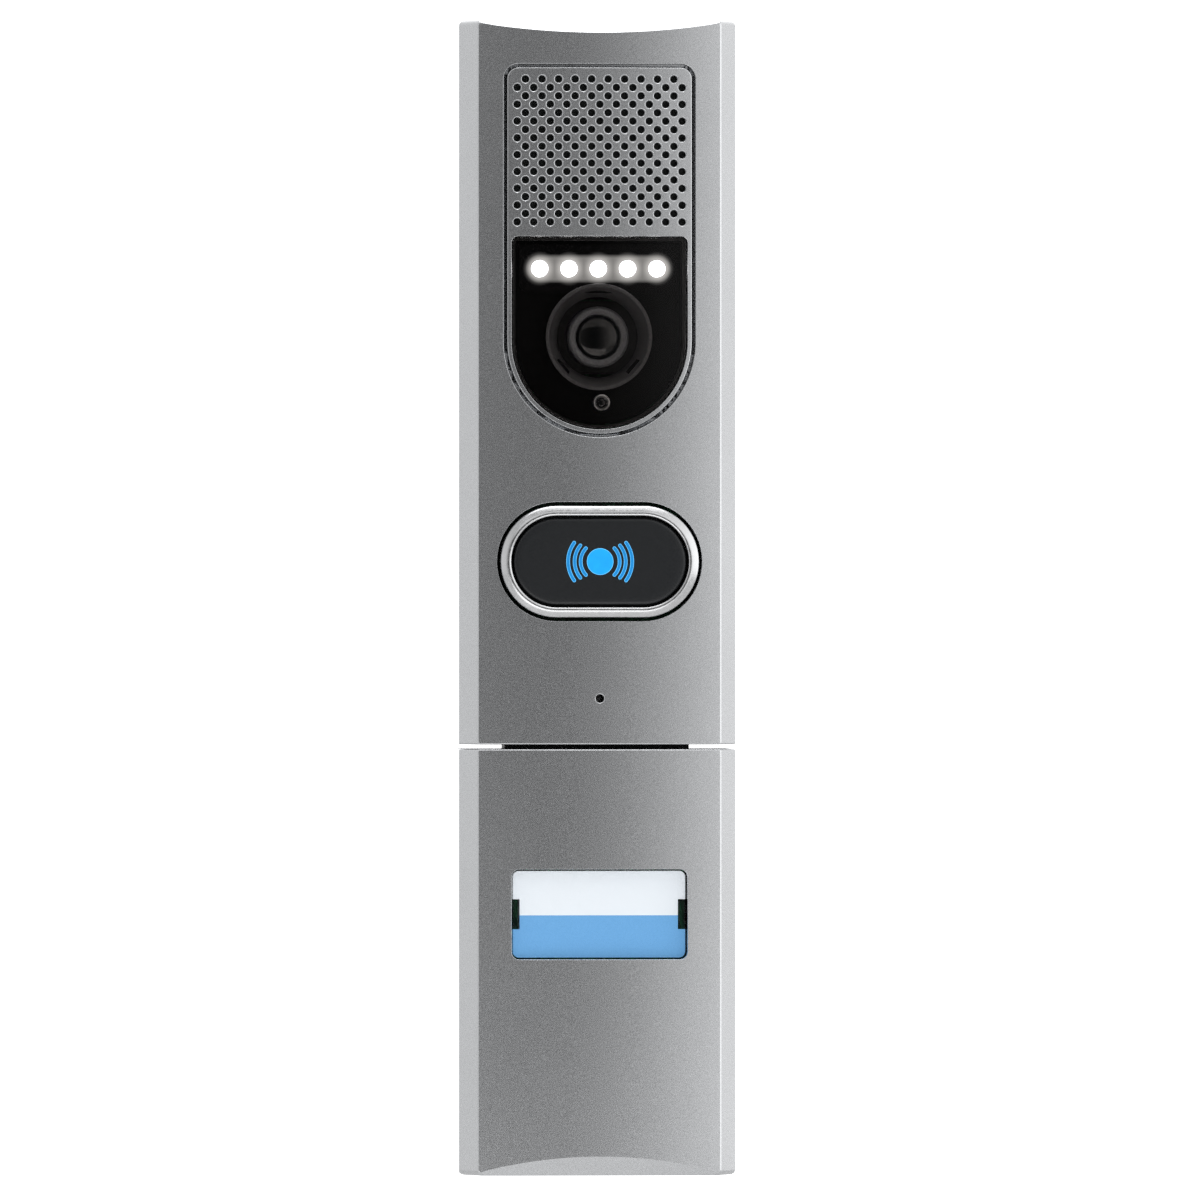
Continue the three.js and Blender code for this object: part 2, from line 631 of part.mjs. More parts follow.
function speaker(parent) {
  const field = HOLE_TOP_INSET + ((HOLE_ROWS - 1) * HOLE_ROW_PITCH) / 2;
  const front = faceDepth(SPEAKER_RADIUS) - PANEL_FLANGE_BACK - CLEARANCE;
  const place = group(parent, 0, front, PANEL_TOP - field);
  const [rim, neck, wall] = [2, MAGNET_RADIUS - 1.4, 0.8];
  const basket = [
    [SPEAKER_RADIUS - wall, 0],
    [SPEAKER_RADIUS, 0],
    [SPEAKER_RADIUS, -rim],
    [MAGNET_RADIUS, -SPEAKER_DEPTH],
    [neck, -SPEAKER_DEPTH],
    [neck, wall - SPEAKER_DEPTH],
    [MAGNET_RADIUS - wall / 2, wall - SPEAKER_DEPTH],
    [SPEAKER_RADIUS - wall, -rim],
    [SPEAKER_RADIUS - wall, 0],
  ];
  piece(place, 'speaker_frame', turnedY(basket, 20), blackPlastic());
  const coneRadius = SPEAKER_RADIUS - wall - CLEARANCE;
  const cone = [
    [0, -SPEAKER_DEPTH / 2],
    [3.6, -SPEAKER_DEPTH / 2 - 1],
    [coneRadius, -0.6],
    [coneRadius, -1],
    [3.6, -SPEAKER_DEPTH / 2 - 1.5],
    [0, -SPEAKER_DEPTH / 2 - 0.5],
  ];
  piece(place, 'speaker_cone', turnedY(cone, 20), material(0x202020, 0.8, 0));
  const magnetFront = -SPEAKER_DEPTH - CLEARANCE;
  const magnet = prismY(circle(0, 0, MAGNET_RADIUS, 24), magnetFront - MAGNET_THICKNESS, magnetFront);
  piece(place, 'speaker_magnet', magnet, satinSteel());
}

/** The tilting camera. Its group stands on the tilt axis. */
function camera(parent) {
  const place = group(parent, 0, CAMERA_AXIS_DEPTH, CAMERA_UP);
  const barrel = [
    [LENS_BORE, -BARREL_BACK],
    [BARREL_THREAD_RADIUS, -BARREL_BACK],
    [BARREL_THREAD_RADIUS, BARREL_SHOULDER],
    [BARREL_RADIUS, BARREL_SHOULDER],
    [BARREL_RADIUS, BARREL_FRONT],
    [LENS_RADIUS, BARREL_FRONT - 0.4],
    [LENS_RADIUS, LENS_SEAT],
    [LENS_BORE, LENS_SEAT],
    [LENS_BORE, -BARREL_BACK],
  ];
  piece(place, 'lens_barrel', turnedY(barrel, 22), blackPlastic());

  const lensRadius = LENS_RADIUS - RUNNING_CLEARANCE;
  const lensBack = LENS_SEAT + CLEARANCE;
  const dome = arc(0, 0, 1, 0, 90, 4).map(([u, v]) => [lensRadius * u, lensBack + 0.7 + v]);
  const lens = turnedY([[0, lensBack], [lensRadius, lensBack], ...dome], 24);
  piece(place, 'lens_glass', lens, material(0x10141c, 0.05, 0));

  const bore = prismY(circle(0, 0, BARREL_THREAD_RADIUS + CLEARANCE, 20), -20, 20);
  const { halfWidth, halfHeight, front, back } = CRADLE;
  const pins = prismX(circle(0, 0, TRUNNION_RADIUS, 16), halfWidth + TRUNNION_LENGTH);
  const block = box([-halfWidth, halfWidth], [-back, front], [-halfHeight, halfHeight]);
  piece(place, 'camera_cradle', block.add(pins).subtract(bore), blackPlastic());

  const { half, thickness } = SENSOR_BOARD;
  const boardFront = -back - CLEARANCE;
  const board = box([-half, half], [boardFront - thickness, boardFront], [-half, half]);
  piece(place, 'sensor_board', board, circuitBoard());
  const chip = SENSOR_CHIP.half;
  const chipBack = boardFront + CLEARANCE;
  const sensor = box([-chip, chip], [chipBack, chipBack + SENSOR_CHIP.thickness], [-chip, chip]);
  piece(place, 'image_sensor', sensor, glossBlack());

  const cheekIn = halfWidth + CHEEK_GAP;
  const cheekOut = cheekIn + CHEEK_THICKNESS;
  const pinBore = prismX(circle(0, 0, TRUNNION_RADIUS + RUNNING_CLEARANCE, 16), cheekOut + 1);
  const yokeZ = [-YOKE.halfHeight, YOKE.halfHeight];
  const yoke = joined([
    box([-cheekOut, cheekOut], [-YOKE.back, YOKE.plate - YOKE.back], yokeZ),
    ...[-1, 1].map((side) => {
      const ends = [side * cheekIn, side * cheekOut].sort((a, b) => a - b);
      return box(ends, [-YOKE.back, YOKE.front], [-YOKE.halfHeight / 2, YOKE.halfHeight / 2]);
    }),
  ]);
  piece(place, 'camera_yoke', yoke.subtract(pinBore), blackPlastic());

  const hoodFront = DEPTH - WINDOW_THICKNESS - CLEARANCE - faceFall(HOOD_FRONT_RADIUS + HOOD_WALL);
  const [near, far] = [hoodFront - CAMERA_AXIS_DEPTH, HOOD_BACK_DEPTH - CAMERA_AXIS_DEPTH];
  const cone = [
    [HOOD_FRONT_RADIUS, near],
    [HOOD_BACK_RADIUS, far],
    [HOOD_BACK_RADIUS + HOOD_WALL, far],
    [HOOD_FRONT_RADIUS + HOOD_WALL, near],
    [HOOD_FRONT_RADIUS, near],
  ];
  const notches = [-1, 1].map((side) => {
    const notch = box([-HOOD_NOTCH.width / 2, HOOD_NOTCH.width / 2], [far + 1.5, near + 1], [-15, 0]);
    return notch.rotate([0, side * HOOD_NOTCH.angle, 0]);
  });
  piece(place, 'camera_hood', cut(turnedY(cone, 36), notches), material(0x2e3032, 0.6, 0));
}

function lamps(parent) {
  const { halfWidth, halfHeight, thickness, back } = LAMP_BOARD;
  const place = group(parent, 0, back + thickness, LAMP_UP);
  const board = box([-halfWidth, halfWidth], [-thickness, 0], [-halfHeight, halfHeight]);
  piece(place, 'lamp_board', board, circuitBoard());
  const dome = arc(0, 0, LAMP_RADIUS, 0, 90, 3);
  const shoulder = CLEARANCE + LAMP_HEIGHT - LAMP_RADIUS;
  const profile = [[0, CLEARANCE], [LAMP_RADIUS, CLEARANCE], ...dome.map(([r, d]) => [r, shoulder + d])];
  const lamp = turnedY(profile, 12);
  for (let i = 0; i < LAMP_COUNT; i += 1) {
    const x = (i - (LAMP_COUNT - 1) / 2) * LAMP_PITCH;
    piece(place, `lamp_${i + 1}`, lamp, lampPlastic()).position.set(x, 0, 0);
  }
  const sensorFront = DEPTH - WINDOW_THICKNESS - 2 * CLEARANCE;
  const sensorZ = PANEL_CENTRE - WINDOW_HALF_WIDTH + LIGHT_SENSOR.aboveWindowBottom;
  const outline = circle(LIGHT_SENSOR.side, sensorZ, LIGHT_SENSOR.radius, 14);
  piece(parent, 'light_sensor', prismY(outline, ON_BOARD, sensorFront), material(0x3a3c40, 0.2, 0));
}

function mainBoard(parent) {
  const { halfWidth, bottom, back } = BOARD;
  const board = box([-halfWidth, halfWidth], [back, BOARD_FRONT], [bottom, BOARD_TOP]);
  piece(parent, 'main_board', board, circuitBoard());

  const place = group(parent, 0, TERMINAL.back, TERMINAL.bottom + TERMINAL.height / 2);
  const places = [-TERMINAL.screwPitch / 2, TERMINAL.screwPitch / 2];
  const depth = back - CLEARANCE - TERMINAL.back;
  const bodyZ = [-TERMINAL.height / 2, TERMINAL.height / 2];
  const body = box([-TERMINAL.halfWidth, TERMINAL.halfWidth], [0, depth], bodyZ);
  const bores = places.map((x) =>
    prismY(circle(x, 0, TERMINAL_SCREW.radius + CLEARANCE, 10), -1, TERMINAL_SCREW.length + CLEARANCE),
  );
  piece(place, 'terminal_block', cut(body, bores), material(0x1d6b3a, 0.5, 0));
  const start = -CLEARANCE - TERMINAL_SCREW.headHeight;
  const screw = turnedY(screwProfile(TERMINAL_SCREW, start), 10);
  places.forEach((x, i) => {
    piece(place, `terminal_screw_${i + 1}`, screw, satinSteel()).position.set(x, 0, 0);
  });
}

function microphone(parent) {
  const place = group(parent, 0, ON_BOARD, MIC_HEIGHT_UP);
  piece(place, 'microphone', prismY(circle(0, 0, MIC_RADIUS, 16), 0, MIC_HEIGHT), satinSteel());
  const bootBack = MIC_HEIGHT + CLEARANCE;
  const bootFront = DEPTH - FRONT_WALL - CLEARANCE - faceFall(BOOT_RADIUS) - ON_BOARD;
  const soundPath = circle(0, 0, MIC_HOLE_RADIUS, 10);
  const boot = prismY(circle(0, 0, BOOT_RADIUS, 16), bootBack, bootFront, [soundPath]);
  piece(place, 'microphone_boot', boot, rubber());
}

// ---- Push button ----

/** The bars of the lit symbol: curved bars on both sides of a disc. */
function iconOutlines(margin) {
  const bars = ICON_ARCS.flatMap(({ radius, halfAngle }) =>
    [0, 180].map((middle) => {
      const half = ICON_STROKE / 2 + margin;
      const over = margin / radius / STEEP;
      const [from, to] = [middle - halfAngle - over, middle + halfAngle + over];
      return [...arc(0, 0, radius + half, from, to, 6), ...arc(0, 0, radius - half, to, from, 6)];
    }),
  );
  return [circle(0, 0, ICON_DISC_RADIUS + margin, 20), ...bars];
}

function pushButton(parent) {
  const place = group(parent, 0, 0, BUTTON_HEIGHT_UP);
  const outline = (margin) => stadium(CAP_LENGTH, CAP_HEIGHT, margin, 0);
  const ringOuter = CAP_GAP + RING_WIDTH;
  const flangeReach = ringOuter + RING_GROOVE + PANEL_FLANGE;
  const flangeFront = faceDepth(CAP_LENGTH / 2 + flangeReach) - FRONT_WALL - CLEARANCE;
  const flangeBack = flangeFront - FLANGE_THICKNESS;
  const hole = [outline(CAP_GAP)];
  const ring = joined([
    prismY(outline(ringOuter), flangeBack, RING_TOP - RING_BEVEL, hole),
    prismY(outline(ringOuter - RING_BEVEL), RING_TOP - 2 * RING_BEVEL, RING_TOP, hole),
    prismY(outline(flangeReach), flangeBack, flangeFront, hole),
  ]);
  piece(place, 'button_ring', ring, satinSteel());

  const stopFront = flangeBack - CLEARANCE;
  const capBack = stopFront - FLANGE_THICKNESS;
  const inside = prismY(outline(-CAP_WALL / 2), capBack, capBack + RIB_THICKNESS);
  const rib = (x) => {
    const across = [x - RIB_WIDTH / 2, x + RIB_WIDTH / 2];
    return box(across, [capBack - 1, CAP_FRONT], [-CAP_HEIGHT, CAP_HEIGHT]).intersect(inside);
  };
  const stemTop = ON_BOARD + SWITCH.height + SWITCH.travel + CLEARANCE / 3 + SWITCH.stemHeight;
  const pusherBack = stemTop + CAP_TRAVEL - SWITCH.travel + RUNNING_CLEARANCE / 3;
  const capBody = joined([
    prismY(outline(0), capBack, CAP_FRONT),
    prismY(outline(CAP_GAP + 1), capBack, stopFront),
  ]).subtract(prismY(outline(-CAP_WALL), capBack - 1, CAP_FRONT - CAP_SKIN));
  const pusher = box([-PUSHER_HALF, PUSHER_HALF], [pusherBack, capBack + 0.5], [-PUSHER_HALF, PUSHER_HALF]);
  const ribs = [-SPRING_OFFSET, 0, SPRING_OFFSET].map(rib);
  const openings = iconOutlines(LIGHT_PIPE_CLEARANCE).map((points) =>
    prismY(points, CAP_FRONT - CAP_SKIN - 1, CAP_FRONT + 1),
  );
  const cap = cut(joined([capBody, ...ribs, pusher]), openings);
  piece(place, 'button_cap', cap, glossBlack());

  const plateFront = CAP_FRONT - CAP_SKIN - CLEARANCE;
  const plate = prismY(
    roundedRectangle(ICON_PLATE.halfWidth, ICON_PLATE.halfHeight, 1, 0, 0, 1),
    plateFront - ICON_PLATE.thickness,
    plateFront,
  );
  const symbol = iconOutlines(0).map((points) => prismY(points, plateFront - 0.2, CAP_FRONT));
  piece(place, 'call_symbol', joined([plate, ...symbol]), blueLight());

  const switchSide = [-SWITCH.half, SWITCH.half];
  const switchBody = box(switchSide, [ON_BOARD, ON_BOARD + SWITCH.height], switchSide);
  piece(place, 'switch_body', switchBody, blackPlastic());
  const stem = prismY(circle(0, 0, SWITCH.stemRadius, 14), stemTop - SWITCH.stemHeight, stemTop);
  piece(place, 'switch_stem', stem, material(0xd9d4c8, 0.5, 0));
  const { half, height, side } = ICON_LAMP;
  const lamp = box([side - half, side + half], [ON_BOARD, ON_BOARD + height], [-half, half]);
  piece(place, 'symbol_lamp', lamp, lampPlastic());
  springs(place, ON_BOARD, capBack - CLEARANCE);
}

/** Two coil springs between the board and the back of the push plate. */
function springs(parent, from, to) {
  const { radius, wire, turns, sides, stepsPerTurn } = SPRING;
  class Coil extends THREE.Curve {
    getPoint(t, target = new THREE.Vector3()) {
      const angle = 2 * Math.PI * turns * t;
      const depth = from + wire + (to - from - 2 * wire) * t;
      return target.set(radius * Math.cos(angle), -depth, radius * Math.sin(angle));
    }
  }
  const section = new THREE.Shape(toVectors(circle(0, 0, wire, sides)));
  const options = { steps: turns * stepsPerTurn, extrudePath: new Coil(), bevelEnabled: false };
  const coil = solid(new THREE.ExtrudeGeometry(section, options));
  [-1, 1].forEach((side) => {
    const name = side < 0 ? 'return_spring_left' : 'return_spring_right';
    piece(parent, name, coil, satinSteel()).position.set(side * SPRING_OFFSET, 0, 0);
  });
}

// ---- Lower module ----

/** A round tool on the axis of the lock screw. */
function uprightHole(radius, low, high) {
  return turnedZ([[0, low], [radius, low], [radius, high], [0, high]], 12, 0, LOCK_SCREW_DEPTH);
}

function lowerHousing(parent) {
  const bottom = facetWedge(BOTTOM_FACET, 0, -1);
  const through = [DEPTH - FRONT_WALL - CROWN_RISE - 1, DEPTH + 1];
  const notchHalf = COVER_LEG.halfHeight + CLEARANCE;
  const reach = NAME_WIDTH / 2 + COVER_NOTCH_DEPTH;
  const { radius, headRadius, headHeight } = LOCK_SCREW;
  const seat = headHeight + CLEARANCE;
  const cuts = [
    prismY(roundedRectangle(NAME_WIDTH / 2, NAME_HEIGHT / 2, NAME_CORNER, 0, NAME_CENTRE_UP), ...through),
    box([-reach, reach], through, [NAME_CENTRE_UP - notchHalf, NAME_CENTRE_UP + notchHalf]),
    linkPassage(LOWER_HEIGHT - LEDGE_WALL - 1, LOWER_HEIGHT + 1),
    bracketNotch(LOWER_HEIGHT - LEDGE_WALL, LOWER_HEIGHT + 1),
    uprightHole(headRadius + CLEARANCE, -1, seat),
    uprightHole(radius + CLEARANCE, 0, LEDGE_WALL),
  ];
  piece(parent, 'lower_front_housing', frontHousing(LOWER_HEIGHT, [bottom], cuts), silverPaint());

  const half = BRACKET_LIP.halfWidth + 2 * CLEARANCE;
  const lipTop = BRACKET_END_INSET + BRACKET_LIP.thickness + 2 * CLEARANCE;
  const notch = box([-half, half], [0, LEDGE_DEPTH], [0, lipTop]);
  const cutouts = [notch, bracketNotch(LOWER_HEIGHT - REAR_END - REAR_WALL - 1, LOWER_HEIGHT)];
  const rear = rearHousing(LOWER_HEIGHT, HOOK_HEIGHTS.lower, [], cutouts);
  piece(parent, 'lower_rear_housing', rear, blackPlastic());
  const seal = loop(LOWER_HEIGHT, [SEAL_FRONT - SEAL_THICKNESS, SEAL_FRONT]);
  piece(parent, 'lower_housing_seal', seal, rubber());
  caseScrews(parent, LOWER_HEIGHT, 'lower_case_screw');
}

/** The clear cover with its card, and the light behind them. */
function namePlate(parent) {
  const place = group(parent, 0, DEPTH - NAME_RECESS, NAME_CENTRE_UP);
  const [halfWidth, halfHeight] = [NAME_WIDTH / 2 - CLEARANCE, NAME_HEIGHT / 2 - CLEARANCE];
  const corner = NAME_CORNER - CLEARANCE;
  const coverBack = -COVER_THICKNESS;
  const pane = prismY(roundedRectangle(halfWidth, halfHeight, corner), coverBack, 0);
  const legZ = [-COVER_LEG.halfHeight, COVER_LEG.halfHeight];
  const legIn = halfWidth - COVER_LEG.thickness;
  const legBack = coverBack - COVER_LEG.length;
  const legs = [-1, 1].flatMap((side) => {
    const across = (a, b) => [side * a, side * b].sort((p, q) => p - q);
    return [
      box(across(legIn, halfWidth), [legBack, coverBack + 0.5], legZ),
      box(across(halfWidth - 0.2, halfWidth + COVER_LEG.hook), [legBack, legBack + 1.2], legZ),
    ];
  });
  piece(place, 'name_cover', joined([pane, ...legs]), clearPlastic());

  const cardFront = coverBack - CLEARANCE;
  const cardBack = cardFront - CARD_THICKNESS;
  const slotIn = legIn - CLEARANCE;
  const slotZ = [-COVER_LEG.halfHeight - CLEARANCE, COVER_LEG.halfHeight + CLEARANCE];
  const slots = [[-FAR, -slotIn], [slotIn, FAR]].map((x) => box(x, [cardBack - 1, cardFront + 1], slotZ));
  const card = prismY(roundedRectangle(halfWidth, halfHeight, corner), cardBack, cardFront);
  piece(place, 'name_card', cut(card, slots), material(0xdfe5ea, 0.6, 0));

  const diffuserFront = cardBack - CLEARANCE;
  const diffuserBack = diffuserFront - DIFFUSER_THICKNESS;
  const diffuser = box([-slotIn, slotIn], [diffuserBack, diffuserFront], [-halfHeight, halfHeight]);
  piece(place, 'light_diffuser', diffuser, material(0xf2f2ee, 0.7, 0));
}

function nameLight(parent) {
  const { halfWidth, halfHeight, thickness, back } = NAME_BOARD;
  const place = group(parent, 0, back + thickness, NAME_CENTRE_UP);
  const board = box([-halfWidth, halfWidth], [-thickness, 0], [-halfHeight, halfHeight]);
  piece(place, 'name_light_board', board, circuitBoard());
  const { half, height, side } = NAME_LAMP;
  const lamp = box([-half, half], [CLEARANCE, CLEARANCE + height], [-half, half]);
  [-side, side].forEach((x, i) => {
    piece(place, `name_lamp_${i + 1}`, lamp, lampPlastic()).position.set(x, 0, 0);
  });
}

// ---- Link and bracket ----

function link(parent) {
  const half = LINK_WIDTH / 2;
  const [low, high] = [LOWER_HEIGHT - LINK_REACH, LOWER_HEIGHT + MODULE_GAP + LINK_REACH];
  const sleeve = box([-half, half], [LINK_BACK, LINK_FRONT], [low, high]);
  const inside = half - LINK_WALL;
  const bore = box([-inside, inside], [LINK_BACK + LINK_WALL, LINK_FRONT - LINK_WALL], [low - 1, high + 1]);
  piece(parent, 'module_link', sleeve.subtract(bore), blackPlastic());

  const back = ON_BOARD + CLEARANCE;
  const { width, thickness, side, reachUp, reachDown } = RIBBON;
  const ribbonZ = [LOWER_HEIGHT - reachDown, LOWER_HEIGHT + MODULE_GAP + reachUp];
  const ribbon = box([side - width / 2, side + width / 2], [back, back + thickness], ribbonZ);
  piece(parent, 'link_ribbon', ribbon, material(0xd8d8d2, 0.6, 0));
}

function bracketHook(z) {
  const lipBack = FLOOR_FRONT + CLEARANCE;
  const lipFront = lipBack + HOOK.lipThickness;
  const outline = [
    [BRACKET_THICKNESS / 2, z],
    [lipFront, z],
    [lipFront, z + HOOK.stem + HOOK.lip],
    [lipBack, z + HOOK.stem + HOOK.lip],
    [lipBack, z + HOOK.stem],
    [BRACKET_THICKNESS / 2, z + HOOK.stem],
  ];
  return [-1, 1].map((side) => prismX(outline, HOOK.halfWidth, side * HOOK.side));
}

function wallBracket(parent) {
  const half = BRACKET_WIDTH / 2;
  const upper = LOWER_HEIGHT + MODULE_GAP;
  const ends = [BRACKET_END_INSET, TOTAL_HEIGHT - BRACKET_END_INSET];
  const plate = box([-half, half], [0, BRACKET_THICKNESS], ends);
  const lipZ = [BRACKET_END_INSET, BRACKET_END_INSET + BRACKET_LIP.thickness];
  const lip = box([-BRACKET_LIP.halfWidth, BRACKET_LIP.halfWidth], [0, BRACKET_LIP.depth], lipZ);
  const heights = [...HOOK_HEIGHTS.upper.map((z) => z + upper), ...HOOK_HEIGHTS.lower];
  const hooks = heights.flatMap(bracketHook);
  const wallHoles = [ends[0] + BRACKET_HOLE_INSET, ends[1] - BRACKET_HOLE_INSET].flatMap((z) =>
    [-BRACKET_HOLE_SIDE, BRACKET_HOLE_SIDE].map((x) =>
      prismY(circle(x, z, BRACKET_HOLE_RADIUS, 16), -1, BRACKET_THICKNESS + 1),
    ),
  );
  const entryHalf = CABLE_ENTRY.halfWidth + BRACKET_ENTRY_MARGIN;
  const entryZ = [
    upper + CABLE_ENTRY.bottom - BRACKET_ENTRY_MARGIN,
    upper + CABLE_ENTRY.bottom + CABLE_ENTRY.height + BRACKET_ENTRY_MARGIN,
  ];
  const entry = box([-entryHalf, entryHalf], [-1, BRACKET_THICKNESS + 1], entryZ);
  const lockHole = uprightHole(LOCK_SCREW.radius + RUNNING_CLEARANCE, lipZ[0] - 1, lipZ[1] + 1);
  const bracket = cut(joined([plate, lip, ...hooks]), [...wallHoles, entry, lockHole]);
  piece(parent, 'wall_bracket', bracket, satinSteel());

  const screw = turnedZ(screwProfile(LOCK_SCREW, RUNNING_CLEARANCE), 12, 0, LOCK_SCREW_DEPTH);
  piece(parent, 'lock_screw', screw, satinSteel());
}

// ---- The whole doorbell, with the middle of the wall face at the origin ----
const doorbell = new THREE.Group();
const station = group(doorbell, 0, 0, -TOTAL_HEIGHT / 2);
const lowerModule = group(station, 0, 0, 0);
const upperModule = group(station, 0, 0, LOWER_HEIGHT + MODULE_GAP);

wallBracket(station);
link(station);
upperHousing(upperModule);
grille(upperModule);
speaker(upperModule);
camera(upperModule);
lamps(upperModule);
mainBoard(upperModule);
microphone(upperModule);
pushButton(upperModule);
lowerHousing(lowerModule);
namePlate(lowerModule);
nameLight(lowerModule);

export default doorbell;
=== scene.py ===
import json
import math

import bmesh
import bpy
from mathutils import Matrix, Vector


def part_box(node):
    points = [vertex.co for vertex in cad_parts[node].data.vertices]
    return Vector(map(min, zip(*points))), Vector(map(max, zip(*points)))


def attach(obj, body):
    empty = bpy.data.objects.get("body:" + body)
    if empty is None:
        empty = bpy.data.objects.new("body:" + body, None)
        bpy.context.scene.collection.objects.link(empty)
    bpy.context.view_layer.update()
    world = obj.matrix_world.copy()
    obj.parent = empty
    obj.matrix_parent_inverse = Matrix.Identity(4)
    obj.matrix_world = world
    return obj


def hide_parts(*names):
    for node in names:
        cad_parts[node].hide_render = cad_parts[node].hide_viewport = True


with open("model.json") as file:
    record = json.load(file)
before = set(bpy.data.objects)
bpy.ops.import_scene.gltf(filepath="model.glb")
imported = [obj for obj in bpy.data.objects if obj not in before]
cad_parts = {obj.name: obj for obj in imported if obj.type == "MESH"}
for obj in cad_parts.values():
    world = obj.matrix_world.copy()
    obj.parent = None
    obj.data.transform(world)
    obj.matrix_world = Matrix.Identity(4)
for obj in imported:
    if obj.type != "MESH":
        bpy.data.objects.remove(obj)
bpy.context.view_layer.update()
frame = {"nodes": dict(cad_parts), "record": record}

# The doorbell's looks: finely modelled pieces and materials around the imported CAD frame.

MM = 0.001

# ---- Places, in millimetres, from the frame. A depth is a distance from the wall ----


def node_box(name):
    low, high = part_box(name)
    return [v / MM for v in low], [v / MM for v in high]


def middle_of(name):
    """The x and z of a node's middle."""
    low, high = node_box(name)
    return (low[0] + high[0]) / 2, (low[2] + high[2]) / 2


def front_of(name):
    return -node_box(name)[0][1]


UPPER_LOW, UPPER_HIGH = node_box("upper_front_housing")
LOWER_LOW, LOWER_HIGH = node_box("lower_front_housing")
PANEL_LOW, PANEL_HIGH = node_box("grille_panel")
LINK_LOW, LINK_HIGH = node_box("module_link")
BRACKET_LOW, BRACKET_HIGH = node_box("wall_bracket")

HALF_WIDTH = UPPER_HIGH[0]
DEPTH = round(-UPPER_LOW[1], 1)
SHELL_BACK = -UPPER_HIGH[1]

# ---- Shape of the bowed front, as in the CAD ----
CROWN_RISE = 1.5
BEVEL_WIDTH, BEVEL_DROP = 3.1, 6.5  # the slanted strip from each ridge to the side
RIDGE_HALF = HALF_WIDTH - BEVEL_WIDTH
RIDGE_DEPTH = DEPTH - CROWN_RISE
SIDE_DEPTH = RIDGE_DEPTH - BEVEL_DROP
TOP_FACET = (2.35, 0.55)  # height at the crown and at the ridges
BOTTOM_FACET = (3.5, 0.6)
BOW_STEP, ROW_STEP = 0.75, 3.0  # spacing of the cuts made before the front is bent
BEND_FROM = 21.5  # what is nearer the wall than this stays straight
RIDGE_FILLET, SIDE_FILLET, BACK_FILLET = 0.45, 1.5, 0.3
END_FILLET, GAP_FILLET = 1.0, 0.35  # at the outer ends, and where the shells meet
FLARE, FINE_FLARE, MIC_FLARE = 0.17, 0.12, 0.3  # rounding of the edges of openings
OVER = 0.004  # how far a rounded opening's cutter starts in front of the flat face
ROUND = [math.radians(a) for a in (15, 30, 45, 60, 75)]  # steps along a rounded edge
TIGHT = 1e-7  # metres, for cuts and merges

# ---- Inside of the shells ----
WALL, LEDGE, FRONT_WALL = 2.0, 3.6, 2.2
HOLLOW_BACK, REAR_RECESS = 9, 10.2  # the hollow starts inside the recess for the rear housing
CUT_DEPTH = 5  # how far cutters of openings reach in from the front
CLEARANCE = 0.3  # round the link and the bracket
BRACKET_ROOM = 2.3
JOINT_REACH = 4  # how far the link's and bracket's room goes into each shell
LOCK_DEPTH, LOCK_HEAD, LOCK_SHANK = 4.6, 2.5, 1.4  # the lock screw's hole in the lower end
LOCK_SINK, LOCK_REACH = 1.25, 4
POST_BORE, POST_RADIUS, POST_FRONT = 1.35, 2.6, 18.0
MIC_Z, MIC_HOLE = middle_of("microphone_boot")[1], 0.73

# ---- Panel, grille holes and window ----
FLANGE = 1.2
GROOVE = 0.64
PANEL_HALF = PANEL_HIGH[0] - FLANGE - GROOVE
PANEL_TOP = PANEL_HIGH[2] - FLANGE - GROOVE
PANEL_CENTRE = PANEL_LOW[2] + FLANGE + GROOVE + PANEL_HALF
PANEL_CORNER = 2.0
PANEL_THICK, PANEL_EDGE = 1.6, 0.2
HOLE_PITCH, ROW_PITCH = 2.97, 1.51
HOLE_RADIUS, HOLE_RIM, HOLE_FLARE = 0.62, 0.86, 0.3
HOLE_DEPTH, HOLE_OVER = 4, 0.4  # how far a hole's cutter reaches in, and out in front
HOLE_ROWS, HOLES_IN_ROW = 18, (10, 11)
HOLE_TOP = PANEL_TOP - 2.1
WINDOW_RAIL, WINDOW_GAP = 0.78, 0.15
WINDOW_HALF = PANEL_HALF - WINDOW_RAIL - WINDOW_GAP
WINDOW_TOP = PANEL_TOP - 30.5
WINDOW_CORNER = 1.0
PANE_THICK, PANE_EDGE = 1.5, 0.28
RIM_FRONT, RIM_BACK, RIM_WIDTH = 1.6, 4.7, 0.6  # the pane's frame, below the front

# ---- Behind the pane ----
CAMERA_Z = middle_of("lens_barrel")[1]
SENSOR_X, SENSOR_Z = middle_of("light_sensor")
BULKHEAD_MARGIN, BULKHEAD_BACK, BULKHEAD_FRONT = 0.9, 24.4, 25.0
CAMERA_BORE, SENSOR_BORE, LAMP_BORE = 8.35, 1.6, 1.55
LAMP_Z = sum(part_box("lamp_3")[i][2] for i in (0, 1)) / 2 / MM
LAMP_PITCH = (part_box("lamp_2")[0][0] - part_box("lamp_1")[0][0]) / MM
LAMP_X = [(i - 2) * LAMP_PITCH for i in range(5)]
LAMP_RADIUS, LAMP_BACK, LAMP_DOME, LAMP_FRONT = 1.5, 23.5, 25.6, 27.1
TRAY_HALF_X, TRAY_HALF_Z, TRAY_CORNER = 14.3, 4.4, 2.0
TRAY_BACK, TRAY_FRONT = 25.15, 25.5
HOOD_BACK, HOOD_BORE = 22.0, 7.25
LENS_RADIUS, LENS_RISE = 3.85, 0.95
BARREL_ROUND = 0.9

